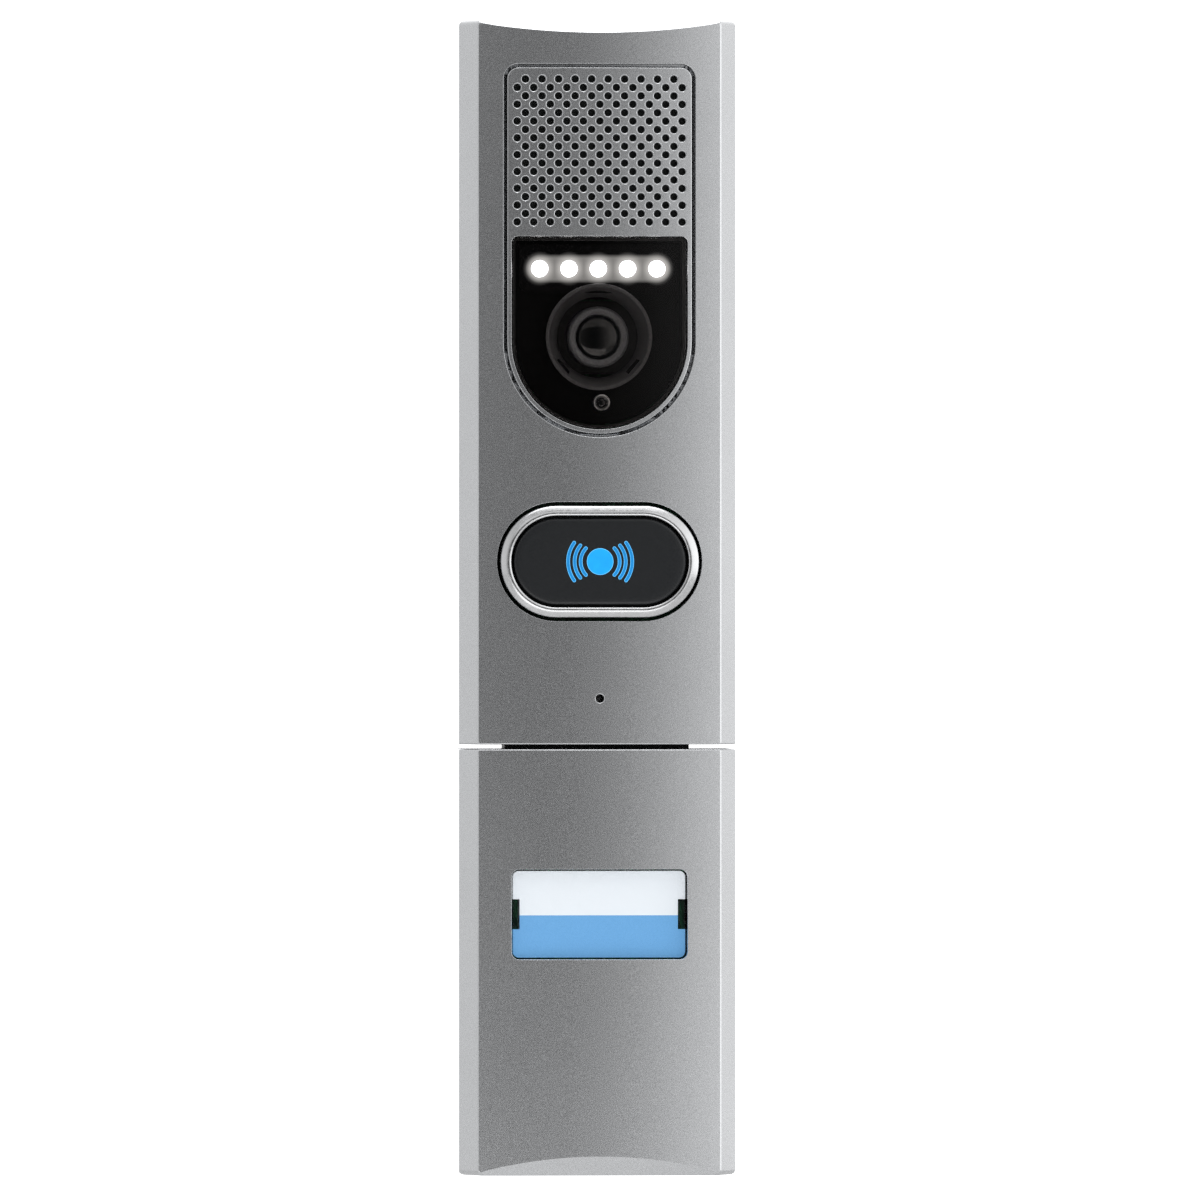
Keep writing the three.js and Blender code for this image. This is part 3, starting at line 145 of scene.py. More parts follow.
# ---- Push button ----
BUTTON_Z = middle_of("button_ring")[1]
CAP_LENGTH, CAP_HEIGHT = 31.0, 15.5
CAP_GAP, RING_WIDTH, RING_GROOVE = 0.45, 1.9, 0.6
CAP_FRONT = front_of("button_cap")
CAP_BACK = CAP_FRONT - 3.0  # the plate itself, in front of the cap's skirt
CAP_EDGE = 0.5
RING_TOP = front_of("button_ring")
DISC_RADIUS = 2.4
SYMBOL_BARS = ((3.51, 43), (4.6, 39), (5.77, 36))  # radius and half the angle of each bar
BAR_HALF = 0.325
SYMBOL_PROUD, SYMBOL_SUNK = 0.03, 0.6

# ---- Name plate ----
NAME_WIDTH, NAME_HEIGHT, NAME_CORNER = 31.7, 16.2, 1.4
NAME_GAP = 0.3  # round the cover in its window
NAME_Z = middle_of("name_cover")[1]
COVER_FRONT, COVER_THICK = front_of("name_cover"), 1.5
COVER_BACK = -node_box("name_cover")[1][1]
CARD_FRONT, CARD_THICK = front_of("name_card"), 0.4
CLIP = (NAME_Z - 2.4, NAME_Z + 2.4)
CLIP_NOTCH = (NAME_Z - 2.7, NAME_Z + 2.7)


def fall(x):
    """How far the bowed front falls back from its crown at x."""
    return CROWN_RISE * (x / RIDGE_HALF) ** 2


# ---- Materials ----


def material(name, colour, roughness, metallic=0.0, **extra):
    made = bpy.data.materials.new(name)
    made.use_nodes = True
    shader = made.node_tree.nodes["Principled BSDF"]
    shader.inputs["Base Color"].default_value = (*colour, 1)
    shader.inputs["Roughness"].default_value = roughness
    shader.inputs["Metallic"].default_value = metallic
    for key, value in extra.items():
        shader.inputs[key.replace("_", " ")].default_value = value
    return made


def add_node(mat, kind, inputs=None, **settings):
    node = mat.node_tree.nodes.new(kind)
    for key, value in settings.items():
        setattr(node, key, value)
    for key, value in (inputs or {}).items():
        node.inputs[key].default_value = value
    return node


def shader_of(mat):
    return mat.node_tree.nodes["Principled BSDF"]


def object_space(mat):
    return add_node(mat, "ShaderNodeTexCoord").outputs["Object"]


def object_axes(mat):
    """The x, y and z of object space, in metres."""
    place_at = object_space(mat)
    split = add_node(mat, "ShaderNodeSeparateXYZ")
    mat.node_tree.links.new(place_at, split.inputs["Vector"])
    return split.outputs


def noise(mat, scale, detail=2.0, roughness=0.5, stretch=(1, 1, 1)):
    """Noise over object space. scale is in features per millimetre."""
    link = mat.node_tree.links.new
    place_at = object_space(mat)
    mapping = add_node(mat, "ShaderNodeMapping", {"Scale": [s * scale / MM for s in stretch]})
    link(place_at, mapping.inputs["Vector"])
    made = add_node(mat, "ShaderNodeTexNoise", {"Scale": 1.0, "Detail": detail, "Roughness": roughness})
    link(mapping.outputs["Vector"], made.inputs["Vector"])
    return made.outputs["Fac"]


def ramp(mat, factor, low, high, stops=(0.35, 0.65)):
    made = add_node(mat, "ShaderNodeMapRange", {
        "From Min": stops[0], "From Max": stops[1], "To Min": low, "To Max": high})
    mat.node_tree.links.new(factor, made.inputs["Value"])
    return made.outputs["Result"]


def math_node(mat, operation, first, second=None):
    made = add_node(mat, "ShaderNodeMath", operation=operation)
    for i, value in enumerate((first, second)):
        if value is None:
            continue
        if isinstance(value, (int, float)):
            made.inputs[i].default_value = value
        else:
            mat.node_tree.links.new(value, made.inputs[i])
    return made.outputs["Value"]


def mix_colours(mat, factor, low, high):
    made = add_node(mat, "ShaderNodeMix", data_type="RGBA")
    mat.node_tree.links.new(factor, made.inputs["Factor"])
    for socket, value in ((made.inputs[6], low), (made.inputs[7], high)):
        if isinstance(value, tuple):
            socket.default_value = (*value, 1)
        else:
            mat.node_tree.links.new(value, socket)
    return made.outputs[2]


def set_colour(mat, colour):
    mat.node_tree.links.new(colour, shader_of(mat).inputs["Base Color"])


def set_roughness(mat, value):
    mat.node_tree.links.new(value, shader_of(mat).inputs["Roughness"])


def bump(mat, height, strength, distance):
    """Bump of a height in millimetres."""
    made = add_node(mat, "ShaderNodeBump", {"Strength": strength, "Distance": distance * MM})
    mat.node_tree.links.new(height, made.inputs["Height"])
    mat.node_tree.links.new(made.outputs["Normal"], shader_of(mat).inputs["Normal"])


def speckled(mat, colour, contrast, scale, rough, rough_spread, bump_mm, patch=0.03):
    """Fine grain in colour, roughness and height, with slow patches under it."""
    grain = noise(mat, scale, 1.5, 0.6)
    slow = noise(mat, 0.05, 3.0, 0.6)
    light = tuple(min(c * (1 + contrast), 1.0) for c in colour)
    dark = tuple(c * (1 - contrast) for c in colour)
    fine = mix_colours(mat, ramp(mat, grain, 0.0, 1.0, (0.3, 0.7)), dark, light)
    worn = add_node(mat, "ShaderNodeMix", {"Factor": 1.0}, data_type="RGBA", blend_type="MULTIPLY")
    mat.node_tree.links.new(fine, worn.inputs[6])
    patches = ramp(mat, slow, 1 - patch, 1.0)
    mat.node_tree.links.new(patches, worn.inputs[7])
    set_colour(mat, worn.outputs[2])
    set_roughness(mat, ramp(mat, grain, rough - rough_spread, rough + rough_spread, (0.3, 0.7)))
    bump(mat, grain, 1.0, bump_mm)
    return mat


def silver_paint():
    mat = material("silver_paint", (0.6, 0.61, 0.62), 0.24, 0.92)
    return speckled(mat, (0.66, 0.67, 0.685), 0.1, 4.5, 0.27, 0.02, 0.0008)


def black_plastic(name="black_plastic", colour=(0.012, 0.012, 0.013), rough=0.5):
    return speckled(material(name, colour, rough), colour, 0.2, 3.0, rough, 0.08, 0.01)


def button_plastic():
    colour = (0.009, 0.0105, 0.0125)
    return speckled(material("button_plastic", colour, 0.38), colour, 0.12, 5.0, 0.36, 0.05, 0.004)


def satin_metal(name, colour, rough, stretch=(0.05, 1, 1)):
    mat = material(name, colour, rough, 1.0)
    streaks = noise(mat, 2.5, 3.0, 0.6, stretch)
    low = tuple(c * 0.93 for c in colour)
    set_colour(mat, mix_colours(mat, ramp(mat, streaks, 0, 1), low, colour))
    set_roughness(mat, ramp(mat, streaks, rough - 0.05, rough + 0.06))
    bump(mat, streaks, 1.0, 0.002)
    return mat


def zinc_plate():
    mat = material("zinc_plate", (0.6, 0.61, 0.62), 0.35, 1.0)
    link = mat.node_tree.links.new
    place_at = object_space(mat)
    cells = add_node(mat, "ShaderNodeTexVoronoi", {"Scale": 0.7 / MM})
    link(place_at, cells.inputs["Vector"])
    grey = add_node(mat, "ShaderNodeRGBToBW")
    link(cells.outputs["Color"], grey.inputs["Color"])
    set_colour(mat, mix_colours(mat, grey.outputs["Val"], (0.57, 0.58, 0.59), (0.63, 0.64, 0.65)))
    set_roughness(mat, ramp(mat, grey.outputs["Val"], 0.34, 0.4, (0, 1)))
    bump(mat, noise(mat, 2.0, 3.0), 1.0, 0.004)
    return mat


def rubber():
    mat = material("seal_rubber", (0.012, 0.012, 0.012), 0.8)
    return speckled(mat, (0.014, 0.014, 0.014), 0.2, 4, 0.78, 0.08, 0.01)


def circuit_board():
    mat = material("circuit_board", (0.02, 0.12, 0.05), 0.35, 0.0, Coat_Weight=0.4)
    traces = noise(mat, 0.8, 2.0, 0.5, (1, 1, 0.2))
    edges = (0.48, 0.52)
    set_colour(mat, mix_colours(
        mat, ramp(mat, traces, 0, 1, edges), (0.01, 0.09, 0.035), (0.025, 0.17, 0.07)))
    bump(mat, ramp(mat, traces, 0, 1, edges), 1.0, 0.02)
    return mat


def fabric():
    mat = material("speaker_fabric", (0.02, 0.022, 0.022), 0.9, 0.0, Sheen_Weight=0.3)
    axes = object_axes(mat)
    turns = 2 * math.pi / (0.3 * MM)  # a thread every 0.3 mm
    threads = [
        math_node(mat, "SINE", math_node(mat, "MULTIPLY", axes[axis], turns))
        for axis in (0, 2)
    ]
    weave = math_node(mat, "MULTIPLY", *threads)
    set_colour(mat, mix_colours(
        mat, ramp(mat, weave, 0, 1, (-1, 1)), (0.008, 0.009, 0.009), (0.05, 0.055, 0.052)))
    bump(mat, weave, 1.0, 0.03)
    return mat


def pane(name, tint):
    """A see-through pane: what is behind it shows in the tint, under a polished outer surface."""
    mat = bpy.data.materials.new(name)
    mat.use_nodes = True
    nodes, link = mat.node_tree.nodes, mat.node_tree.links.new
    nodes.remove(nodes["Principled BSDF"])
    clear = add_node(mat, "ShaderNodeBsdfTransparent", {"Color": (*tint, 1)})
    gloss = add_node(mat, "ShaderNodeBsdfGlossy", {"Color": (0.8, 0.8, 0.8, 1)})
    smears = noise(mat, 0.08, 4.0, 0.6)
    link(ramp(mat, smears, 0.03, 0.09), gloss.inputs["Roughness"])
    fresnel = add_node(mat, "ShaderNodeFresnel", {"IOR": 1.35})
    mix = add_node(mat, "ShaderNodeMixShader")
    inner_face = add_node(mat, "ShaderNodeNewGeometry").outputs["Backfacing"]
    outer_face = math_node(mat, "SUBTRACT", 1.0, inner_face)
    link(math_node(mat, "MULTIPLY", fresnel.outputs[0], outer_face), mix.inputs[0])
    link(clear.outputs[0], mix.inputs[1])
    link(gloss.outputs[0], mix.inputs[2])
    link(mix.outputs[0], nodes["Material Output"].inputs["Surface"])
    return mat


def lamp_white():
    mat = material("lamp_white", (0.9, 0.92, 0.95), 0.15, 0.0, Emission_Strength=7.0)
    facing = add_node(mat, "ShaderNodeLayerWeight", {"Blend": 0.3})
    rim = mix_colours(mat, facing.outputs["Facing"], (1.0, 1.0, 1.0), (0.75, 0.8, 0.9))
    mat.node_tree.links.new(rim, shader_of(mat).inputs["Emission Color"])
    return mat


def painted_glow_tray():
    """A dark tray with painted light: a painted glow, brightest round each lamp, with a painted band of glow
    between them.
    """
    mat = material("painted_glow_tray", (0.002, 0.002, 0.0025), 0.6, 0.0, Specular_IOR_Level=0.08)
    axes = object_axes(mat)
    x = math_node(mat, "MULTIPLY", axes["X"], 1 / MM)
    z = math_node(mat, "SUBTRACT", math_node(mat, "MULTIPLY", axes["Z"], 1 / MM), LAMP_Z)
    last = 2 * LAMP_PITCH
    inside = math_node(mat, "MINIMUM", math_node(mat, "MAXIMUM", x, -last), last)
    step = math_node(mat, "ROUND", math_node(mat, "DIVIDE", inside, LAMP_PITCH))
    nearest = math_node(mat, "MULTIPLY", step, LAMP_PITCH)
    dx = math_node(mat, "SUBTRACT", x, nearest)
    past = math_node(mat, "SUBTRACT", x, inside)

    def length(a, b):
        squares = [math_node(mat, "POWER", math_node(mat, "ABSOLUTE", v), 2.0) for v in (a, b)]
        return math_node(mat, "SQRT", math_node(mat, "ADD", *squares))

    # Painted light: emission set by place on the tray, a halo round each lamp and a band between them, not
    # light cast by the lamps.
    halo = ramp(mat, length(dx, z), 0.75, 0.0, (1.5, 3.2))
    band = ramp(mat, length(past, z), 0.34, 0.0, (1.9, 2.6))
    glow = math_node(mat, "ADD", math_node(mat, "POWER", halo, 1.8), band)
    mat.node_tree.links.new(glow, shader_of(mat).inputs["Emission Strength"])
    shader_of(mat).inputs["Emission Color"].default_value = (1, 1, 0.98, 1)
    return mat


def lit_blue(name, colour, strength):
    mat = material(name, colour, 0.35, 0.0, Emission_Strength=strength)
    shade = noise(mat, 0.5, 2.0)
    deep = tuple(c * 0.9 for c in colour)
    mixed = mix_colours(mat, ramp(mat, shade, 0, 1), deep, colour)
    set_colour(mat, mixed)
    mat.node_tree.links.new(mixed, shader_of(mat).inputs["Emission Color"])
    return mat


def card_paper():
    """Paper with a white upper half and a blue lower half, lit softly from behind."""
    mat = material("card", (0.8, 0.8, 0.8), 0.55, 0.0, Emission_Strength=0.48)
    axes = object_axes(mat)
    blur = 0.05 * MM
    border = (NAME_Z - 0.2) * MM
    upper = ramp(mat, axes["Z"], 0, 1, (border - blur, border + blur))
    fibres = ramp(mat, noise(mat, 3.0, 4.0, 0.7), 0.0, 1.0)
    white = mix_colours(mat, fibres, (0.74, 0.76, 0.79), (0.8, 0.82, 0.85))
    blue = mix_colours(mat, fibres, (0.13, 0.35, 0.64), (0.15, 0.38, 0.67))
    colour = mix_colours(mat, upper, blue, white)
    set_colour(mat, colour)
    mat.node_tree.links.new(colour, shader_of(mat).inputs["Emission Color"])
    bump(mat, fibres, 1.0, 0.01)
    return mat


# ---- Mesh tools ----


def new_object(name, mesh_builder, mat, smooth_angle=35):
    mesh = bpy.data.meshes.new(name)
    mesh_builder.normal_update()
    mesh_builder.to_mesh(mesh)
    mesh_builder.free()
    made = bpy.data.objects.new(name, mesh)
    bpy.context.collection.objects.link(made)
    if mat is not None:
        mesh.materials.append(mat)
    smooth(made, smooth_angle)
    return made


def apply_modifiers(made):
    graph = bpy.context.evaluated_depsgraph_get()
    result = bpy.data.meshes.new_from_object(made.evaluated_get(graph))
    old = made.data
    made.modifiers.clear()
    made.data = result
    bpy.data.meshes.remove(old)


def smooth(made, angle=35):
    """Smooth shading that leaves the large faces flat and the true edges sharp."""
    made.data.shade_smooth()
    made.data.set_sharp_from_angle(angle=math.radians(angle))
    change = made.modifiers.new("normals", "WEIGHTED_NORMAL")
    change.keep_sharp = True
    apply_modifiers(made)
    return made


def arc(x, z, radius, start, end, steps):
    """Points on an arc, in degrees, both ends included."""
    return [
        (x + radius * math.cos(math.radians(start + (end - start) * i / steps)),
         z + radius * math.sin(math.radians(start + (end - start) * i / steps)))
        for i in range(steps + 1)
    ]


def circle(x, z, radius, steps):
    return arc(x, z, radius, 0, 360, steps)[:-1]


def arched(half, top, centre, corner, margin):
    """The panel's and window's outline, the same number of points at every margin."""
    wide, radius = half + margin, max(corner + margin, 0.05)
    high = top + margin - radius
    return (arc(wide - radius, high, radius, 0, 90, 8) + arc(radius - wide, high, radius, 90, 180, 8)
            + arc(0, centre, wide, 180, 360, 64))


def rounded_rectangle(half_x, half_z, corner, margin, z, steps):
    radius = max(corner + margin, 0.05)
    dx, dz = half_x + margin - radius, half_z + margin - radius
    return (arc(dx, z + dz, radius, 0, 90, steps) + arc(-dx, z + dz, radius, 90, 180, steps)
            + arc(-dx, z - dz, radius, 180, 270, steps) + arc(dx, z - dz, radius, 270, 360, steps))


def panel_outline(margin):
    return arched(PANEL_HALF, PANEL_TOP, PANEL_CENTRE, PANEL_CORNER, margin)


def window_outline(margin):
    return arched(WINDOW_HALF, WINDOW_TOP, PANEL_CENTRE, WINDOW_CORNER, margin)


def button_outline(margin):
    """The push plate's outline: straight between two half rounds."""
    radius, reach = CAP_HEIGHT / 2 + margin, (CAP_LENGTH - CAP_HEIGHT) / 2
    return arc(reach, BUTTON_Z, radius, -90, 90, 28) + arc(-reach, BUTTON_Z, radius, 90, 270, 28)


def everything(bm):
    return bm.verts[:] + bm.edges[:] + bm.faces[:]


def cut_off(bm, place_at, normal):
    """Cuts away what lies beyond a plane. Returns the edges left open."""
    cut = bmesh.ops.bisect_plane(
        bm, geom=everything(bm), dist=TIGHT, plane_co=place_at, plane_no=normal, clear_outer=True)
    return [e for e in cut["geom_cut"] if isinstance(e, bmesh.types.BMEdge)]


def bow(made, half):
    """Bends a flat-fronted object to the bow of the front, after cutting it into narrow strips."""
    bm = bmesh.new()
    bm.from_mesh(made.data)
    count = int(half / BOW_STEP)
    planes = [((i * BOW_STEP * MM, 0, 0), (1, 0, 0)) for i in range(-count, count + 1)]
    low, high = min(v.co.z for v in bm.verts), max(v.co.z for v in bm.verts)
    rows = max(int((high - low) / (ROW_STEP * MM)), 1)
    planes += [((0, 0, low + (high - low) * (i + 0.5) / rows), (0, 0, 1)) for i in range(rows)]
    for place_at, across in planes:
        bmesh.ops.bisect_plane(bm, geom=everything(bm), dist=TIGHT, plane_co=place_at, plane_no=across)
    for vert in bm.verts:
        if -vert.co.y > BEND_FROM * MM:
            vert.co.y += fall(min(abs(vert.co.x) / MM, RIDGE_HALF)) * MM
    bm.to_mesh(made.data)
    bm.free()
    return made


def smooth_bow(made, angle=35):
    """Smooth shading that follows the true bow over the front of an object."""
    smooth(made, angle)
    mesh = made.data
    normals = [Vector(corner.vector) for corner in mesh.corner_normals]
    for face in mesh.polygons:
        x, depth = face.center.x / MM, -face.center.y / MM
        on_bow = abs(depth - DEPTH + fall(x)) <= 0.03 and abs(x) <= RIDGE_HALF
        if face.normal.y > -0.97 or not on_bow:
            continue
        for i in face.loop_indices:
            across = mesh.vertices[mesh.loops[i].vertex_index].co.x / MM
            slope = 2 * CROWN_RISE * across / RIDGE_HALF ** 2
            normals[i] = Vector((slope, -1, 0)).normalized()
    mesh.normals_split_custom_set(normals)
    return made


def skin(bm, rings, loop=False):
    """Faces through rings of as many vertices each. Both ends are closed, or a loop joins them."""
    count = len(rings[0])
    pairs = list(zip(rings, rings[1:])) + ([(rings[-1], rings[0])] if loop else [])
    for low, high in pairs:
        for i in range(count):
            j = (i + 1) % count
            bm.faces.new((low[i], low[j], high[j], high[i]))
    if not loop:
        bm.faces.new(rings[0])
        bm.faces.new(rings[-1])
    bmesh.ops.recalc_face_normals(bm, faces=bm.faces[:])
    return bm


def loft(rings, loop=False):
    """A closed mesh through rings of (x and z points, depth)."""
    bm = bmesh.new()
    made = [[bm.verts.new((x * MM, -depth * MM, z * MM)) for x, z in points] for points, depth in rings]
    return skin(bm, made, loop)


def upright(rings):
    """A closed mesh through rings of (x and depth points, z)."""
    bm = bmesh.new()
    made = [[bm.verts.new((x * MM, -depth * MM, z * MM)) for x, depth in points] for points, z in rings]
    return skin(bm, made)


def rings_of(outline, section):
    """Rings from an outline that takes a margin, at (margin, depth) pairs."""
    return [(outline(margin), depth) for margin, depth in section]


def turned(profile, x, z, steps):
    """A mesh turned about a line in depth. The profile holds (radius, depth) pairs."""
    bm = bmesh.new()
    rings = []
    for radius, depth in profile:
        if radius < 1e-6:
            rings.append([bm.verts.new((x * MM, -depth * MM, z * MM))])
        else:
            rings.append([bm.verts.new(((x + a) * MM, -depth * MM, (z + b) * MM))
                          for a, b in circle(0, 0, radius, steps)])
    for low, high in zip(rings, rings[1:]):
        for i in range(steps):
            j = (i + 1) % steps
            corners = [low[i % len(low)], low[j % len(low)], high[j % len(high)], high[i % len(high)]]
            bm.faces.new(list(dict.fromkeys(corners)))
    if len(rings[0]) > 1 and profile[0] == profile[-1]:
        bmesh.ops.remove_doubles(bm, verts=rings[0] + rings[-1], dist=TIGHT)
    bmesh.ops.recalc_face_normals(bm, faces=bm.faces[:])
    return bm


def subtract(target, cutters):
    """Cuts meshes out of target and applies the cuts."""
    for cutter in cutters:
        tool = new_object("cutter", cutter, None)
        change = target.modifiers.new("cut", "BOOLEAN")
        change.operation, change.solver, change.object = "DIFFERENCE", "EXACT", tool
        apply_modifiers(target)
        bpy.data.objects.remove(tool)
    smooth(target)


def block(x, depth, z):
    """A box mesh between pairs of limits."""
    bm = bmesh.new()
    bmesh.ops.create_cube(bm, size=1.0)
    for vert in bm.verts:
        vert.co = Vector((
            x[0 if vert.co.x < 0 else 1] * MM,
            -depth[1 if vert.co.y < 0 else 0] * MM,
            z[0 if vert.co.z < 0 else 1] * MM,
        ))
    return bm


def flared_cutter(outline, back, flare=FLARE):
    """A tool that cuts an opening whose edge rounds over into the flat front."""
    section = [(0, back)]
    for i in range(5):
        angle = math.radians(90 * i / 4)
        section.append((flare * (1 - math.cos(angle)), DEPTH + OVER - flare * (1 - math.sin(angle))))
    section.append((flare, DEPTH + 1))
    return loft(rings_of(outline, section))


def place(piece, body, slot, *nodes):
    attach(piece, body)
    if nodes:
        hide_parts(*nodes)


# ---- Metal shells ----


def rounded_corner(before, corner, after, radius, steps=5):
    """Points that round a corner of an outline."""
    a, b, c = Vector(before), Vector(corner), Vector(after)
    to_a, to_c = (a - b).normalized(), (c - b).normalized()
    half = to_a.angle(to_c) / 2
    reach = radius / math.tan(half)
    middle = b + (to_a + to_c).normalized() * (radius / math.sin(half))
    start, end = b + to_a * reach - middle, b + to_c * reach - middle
    turn = start.angle(end)
    points = []
    for i in range(steps + 1):
        share = i / steps
        spoke = start * math.sin((1 - share) * turn) + end * math.sin(share * turn)
        points.append(tuple(middle + spoke / math.sin(turn)))
    return points


def shell_profile(inset):
    """The shell's outline in x and depth before it is bent, moved inward by inset."""
    along = Vector((HALF_WIDTH - RIDGE_HALF, SIDE_DEPTH - RIDGE_DEPTH)).normalized()
    start = Vector((RIDGE_HALF, DEPTH)) - Vector((-along.y, along.x)) * inset
    half, front, back = HALF_WIDTH - inset, DEPTH - inset, SHELL_BACK + inset
    ridge = (start.x + along.x * (front - start.y) / along.y, front)
    side = (half, start.y + along.y * (half - start.x) / along.x)
    least = 0.03
    right = rounded_corner((0, front), ridge, side, max(RIDGE_FILLET - inset, least))
    right += rounded_corner(ridge, side, (half, back), max(SIDE_FILLET - inset, least), 4)
    right += rounded_corner(side, (half, back), (0, back), max(BACK_FILLET - inset, least), 3)
    return right + [(-x, depth) for x, depth in reversed(right)]


def shell_mesh(low, high, low_fillet, high_fillet):
    """The outer form of a shell, with rounded ends."""
    insets = []
    for end, towards, radius in ((low, 1, low_fillet), (high, -1, high_fillet)):
        rounds = []
        for i in range(6):
            angle = math.radians(90 * i / 5)
            inset = radius * (1 - math.sin(angle))
            rounds.append((inset, end + towards * radius * (1 - math.cos(angle))))
        insets += rounds if towards > 0 else rounds[::-1]
    return upright([(shell_profile(inset), z) for inset, z in insets])


def slope_end(made, heights, end, towards):
    """Slopes an end of the front off, from the bow down to the end face."""
    slope = (heights[0] - heights[1]) / CROWN_RISE
    start = RIDGE_DEPTH - heights[1] / slope
    bm = bmesh.new()
    bm.from_mesh(made.data)
    normal = Vector((0, -slope, towards)).normalized()
    edges = cut_off(bm, (0, -start * MM, end * MM), normal)
    bmesh.ops.contextual_create(bm, geom=edges)
    bmesh.ops.recalc_face_normals(bm, faces=bm.faces[:])
    bm.to_mesh(made.data)
    bm.free()


def cavity(low, high):
    """The hollow of a shell, open at the back."""
    ridge, front = RIDGE_HALF - 0.65 * WALL, DEPTH - FRONT_WALL
    half = HALF_WIDTH - LEDGE
    side = front - (half - ridge) * BEVEL_DROP / BEVEL_WIDTH
    outline = [(-ridge, front), (ridge, front), (half, side),
               (half, HOLLOW_BACK), (-half, HOLLOW_BACK), (-half, side)]
    hollow = upright([(outline, low + LEDGE), (outline, high - LEDGE)])
    rear = block((WALL - HALF_WIDTH, HALF_WIDTH - WALL), (0, REAR_RECESS), (low + WALL, high - WALL))
    return [hollow, rear]


def joint_cutters(low, high):
    """Room for the link and the wall bracket to pass from one shell to the other."""
    link_depths = (-LINK_HIGH[1] - CLEARANCE, -LINK_LOW[1] + CLEARANCE)
    bracket_width = (BRACKET_LOW[0] - CLEARANCE, BRACKET_HIGH[0] + CLEARANCE)
    return [
        block((LINK_LOW[0] - CLEARANCE, LINK_HIGH[0] + CLEARANCE), link_depths, (low, high)),
        block(bracket_width, (0, BRACKET_ROOM), (low, high)),
    ]


def upper_shell(mat):
    low, high = UPPER_LOW[2], UPPER_HIGH[2]
    shell = new_object("upper_shell", shell_mesh(low, high, GAP_FILLET, END_FILLET), mat)
    ring_room = CAP_GAP + RING_WIDTH + RING_GROOVE
    subtract(shell, [
        *cavity(low, high),
        flared_cutter(lambda margin: panel_outline(GROOVE + margin), DEPTH - CUT_DEPTH),
        flared_cutter(lambda margin: button_outline(ring_room + margin), DEPTH - CUT_DEPTH),
        flared_cutter(lambda margin: circle(0, MIC_Z, MIC_HOLE + margin, 32), DEPTH - 3, MIC_FLARE),
        *joint_cutters(low - 1, low + JOINT_REACH),
    ])
    bow(shell, RIDGE_HALF)
    slope_end(shell, TOP_FACET, high, 1)
    smooth_bow(shell)
    place(shell, "station", "silver_paint", "upper_front_housing")


def lower_shell(mat):
    def name_window(margin):
        return rounded_rectangle(NAME_WIDTH / 2, NAME_HEIGHT / 2, NAME_CORNER, margin, NAME_Z, 8)

    low, high = LOWER_LOW[2], LOWER_HIGH[2]
    shell = new_object("lower_shell", shell_mesh(low, high, END_FILLET, GAP_FILLET), mat)
    notch = 0.9 + NAME_WIDTH / 2
    subtract(shell, [
        *cavity(low, high),
        flared_cutter(name_window, DEPTH - CUT_DEPTH, FINE_FLARE),
        block((-notch, notch), (DEPTH - 6, DEPTH - 1.0), CLIP_NOTCH),
        *joint_cutters(high - JOINT_REACH, high + 1),
        lock_hole(LOCK_HEAD, low - 1, low + LOCK_SINK),
        lock_hole(LOCK_SHANK, low, low + LOCK_REACH),
    ])
    bow(shell, RIDGE_HALF)
    slope_end(shell, BOTTOM_FACET, low, -1)
    smooth_bow(shell)
    place(shell, "station", "silver_paint", "lower_front_housing")


def lock_hole(radius, low, high):
    """A tool for an upright round hole on the lock screw's line."""
    points = circle(0, LOCK_DEPTH, radius, 40)
    return upright([(points, low), (points, high)])


# ---- Grille panel ----


def pane_rings(outline, back, edge, steps=4):
    """Rings for a pane: straight sides and a rounded front edge."""
    rings = [(outline(0), back)]
    for i in range(steps + 1):
        angle = math.radians(90 * i / steps)
        rings.append((outline(edge * (math.cos(angle) - 1)), DEPTH - edge + edge * math.sin(angle)))
    return rings


def grille_hole(x, z):
    """A tool for one grille hole, which widens to the front."""
    front = DEPTH + OVER
    profile = [(0, front - HOLE_DEPTH), (HOLE_RADIUS, front - HOLE_DEPTH), (HOLE_RADIUS, front - HOLE_FLARE)]
    profile += [(HOLE_RADIUS + (HOLE_RIM - HOLE_RADIUS) * t * t, front - HOLE_FLARE * (1 - t))
                for t in (0.4, 0.75, 1.0)]
    profile += [(HOLE_RIM, front + HOLE_OVER), (0, front + HOLE_OVER)]
    return turned(profile, x, z, 20)


def grille(mat):
    rings = pane_rings(panel_outline, DEPTH - PANEL_THICK, PANEL_EDGE)
    panel = new_object("speaker_grille", loft(rings), mat)
    holes = bmesh.new()
    for row in range(HOLE_ROWS):
        count = HOLES_IN_ROW[row % 2]
        for i in range(count):
            tool = grille_hole((i - (count - 1) / 2) * HOLE_PITCH, HOLE_TOP - row * ROW_PITCH)
            scratch = bpy.data.meshes.new("hole")
            tool.to_mesh(scratch)
            tool.free()
            holes.from_mesh(scratch)
            bpy.data.meshes.remove(scratch)
    opening = flared_cutter(lambda margin: window_outline(WINDOW_GAP + margin), DEPTH - 4, FINE_FLARE)
    subtract(panel, [holes, opening])
    smooth_bow(bow(panel, PANEL_HALF))
    inner, bore, outer = -0.02, -0.75, GROOVE + FLANGE
    front, shelf, back = DEPTH - 1.7, DEPTH - 2.5, DEPTH - 3.5
    section = [(inner, front), (inner, shelf), (outer, shelf), (outer, back), (bore, back), (bore, front)]
    rim = loft(rings_of(panel_outline, section), loop=True)
    flange = smooth(bow(new_object("grille_flange", rim, mat), PANEL_HALF + GROOVE + FLANGE))
    place(flange, "station", "silver_paint", "grille_panel")
    place(panel, "station", "silver_paint", "grille_panel")


# ---- Camera window and what is behind it ----


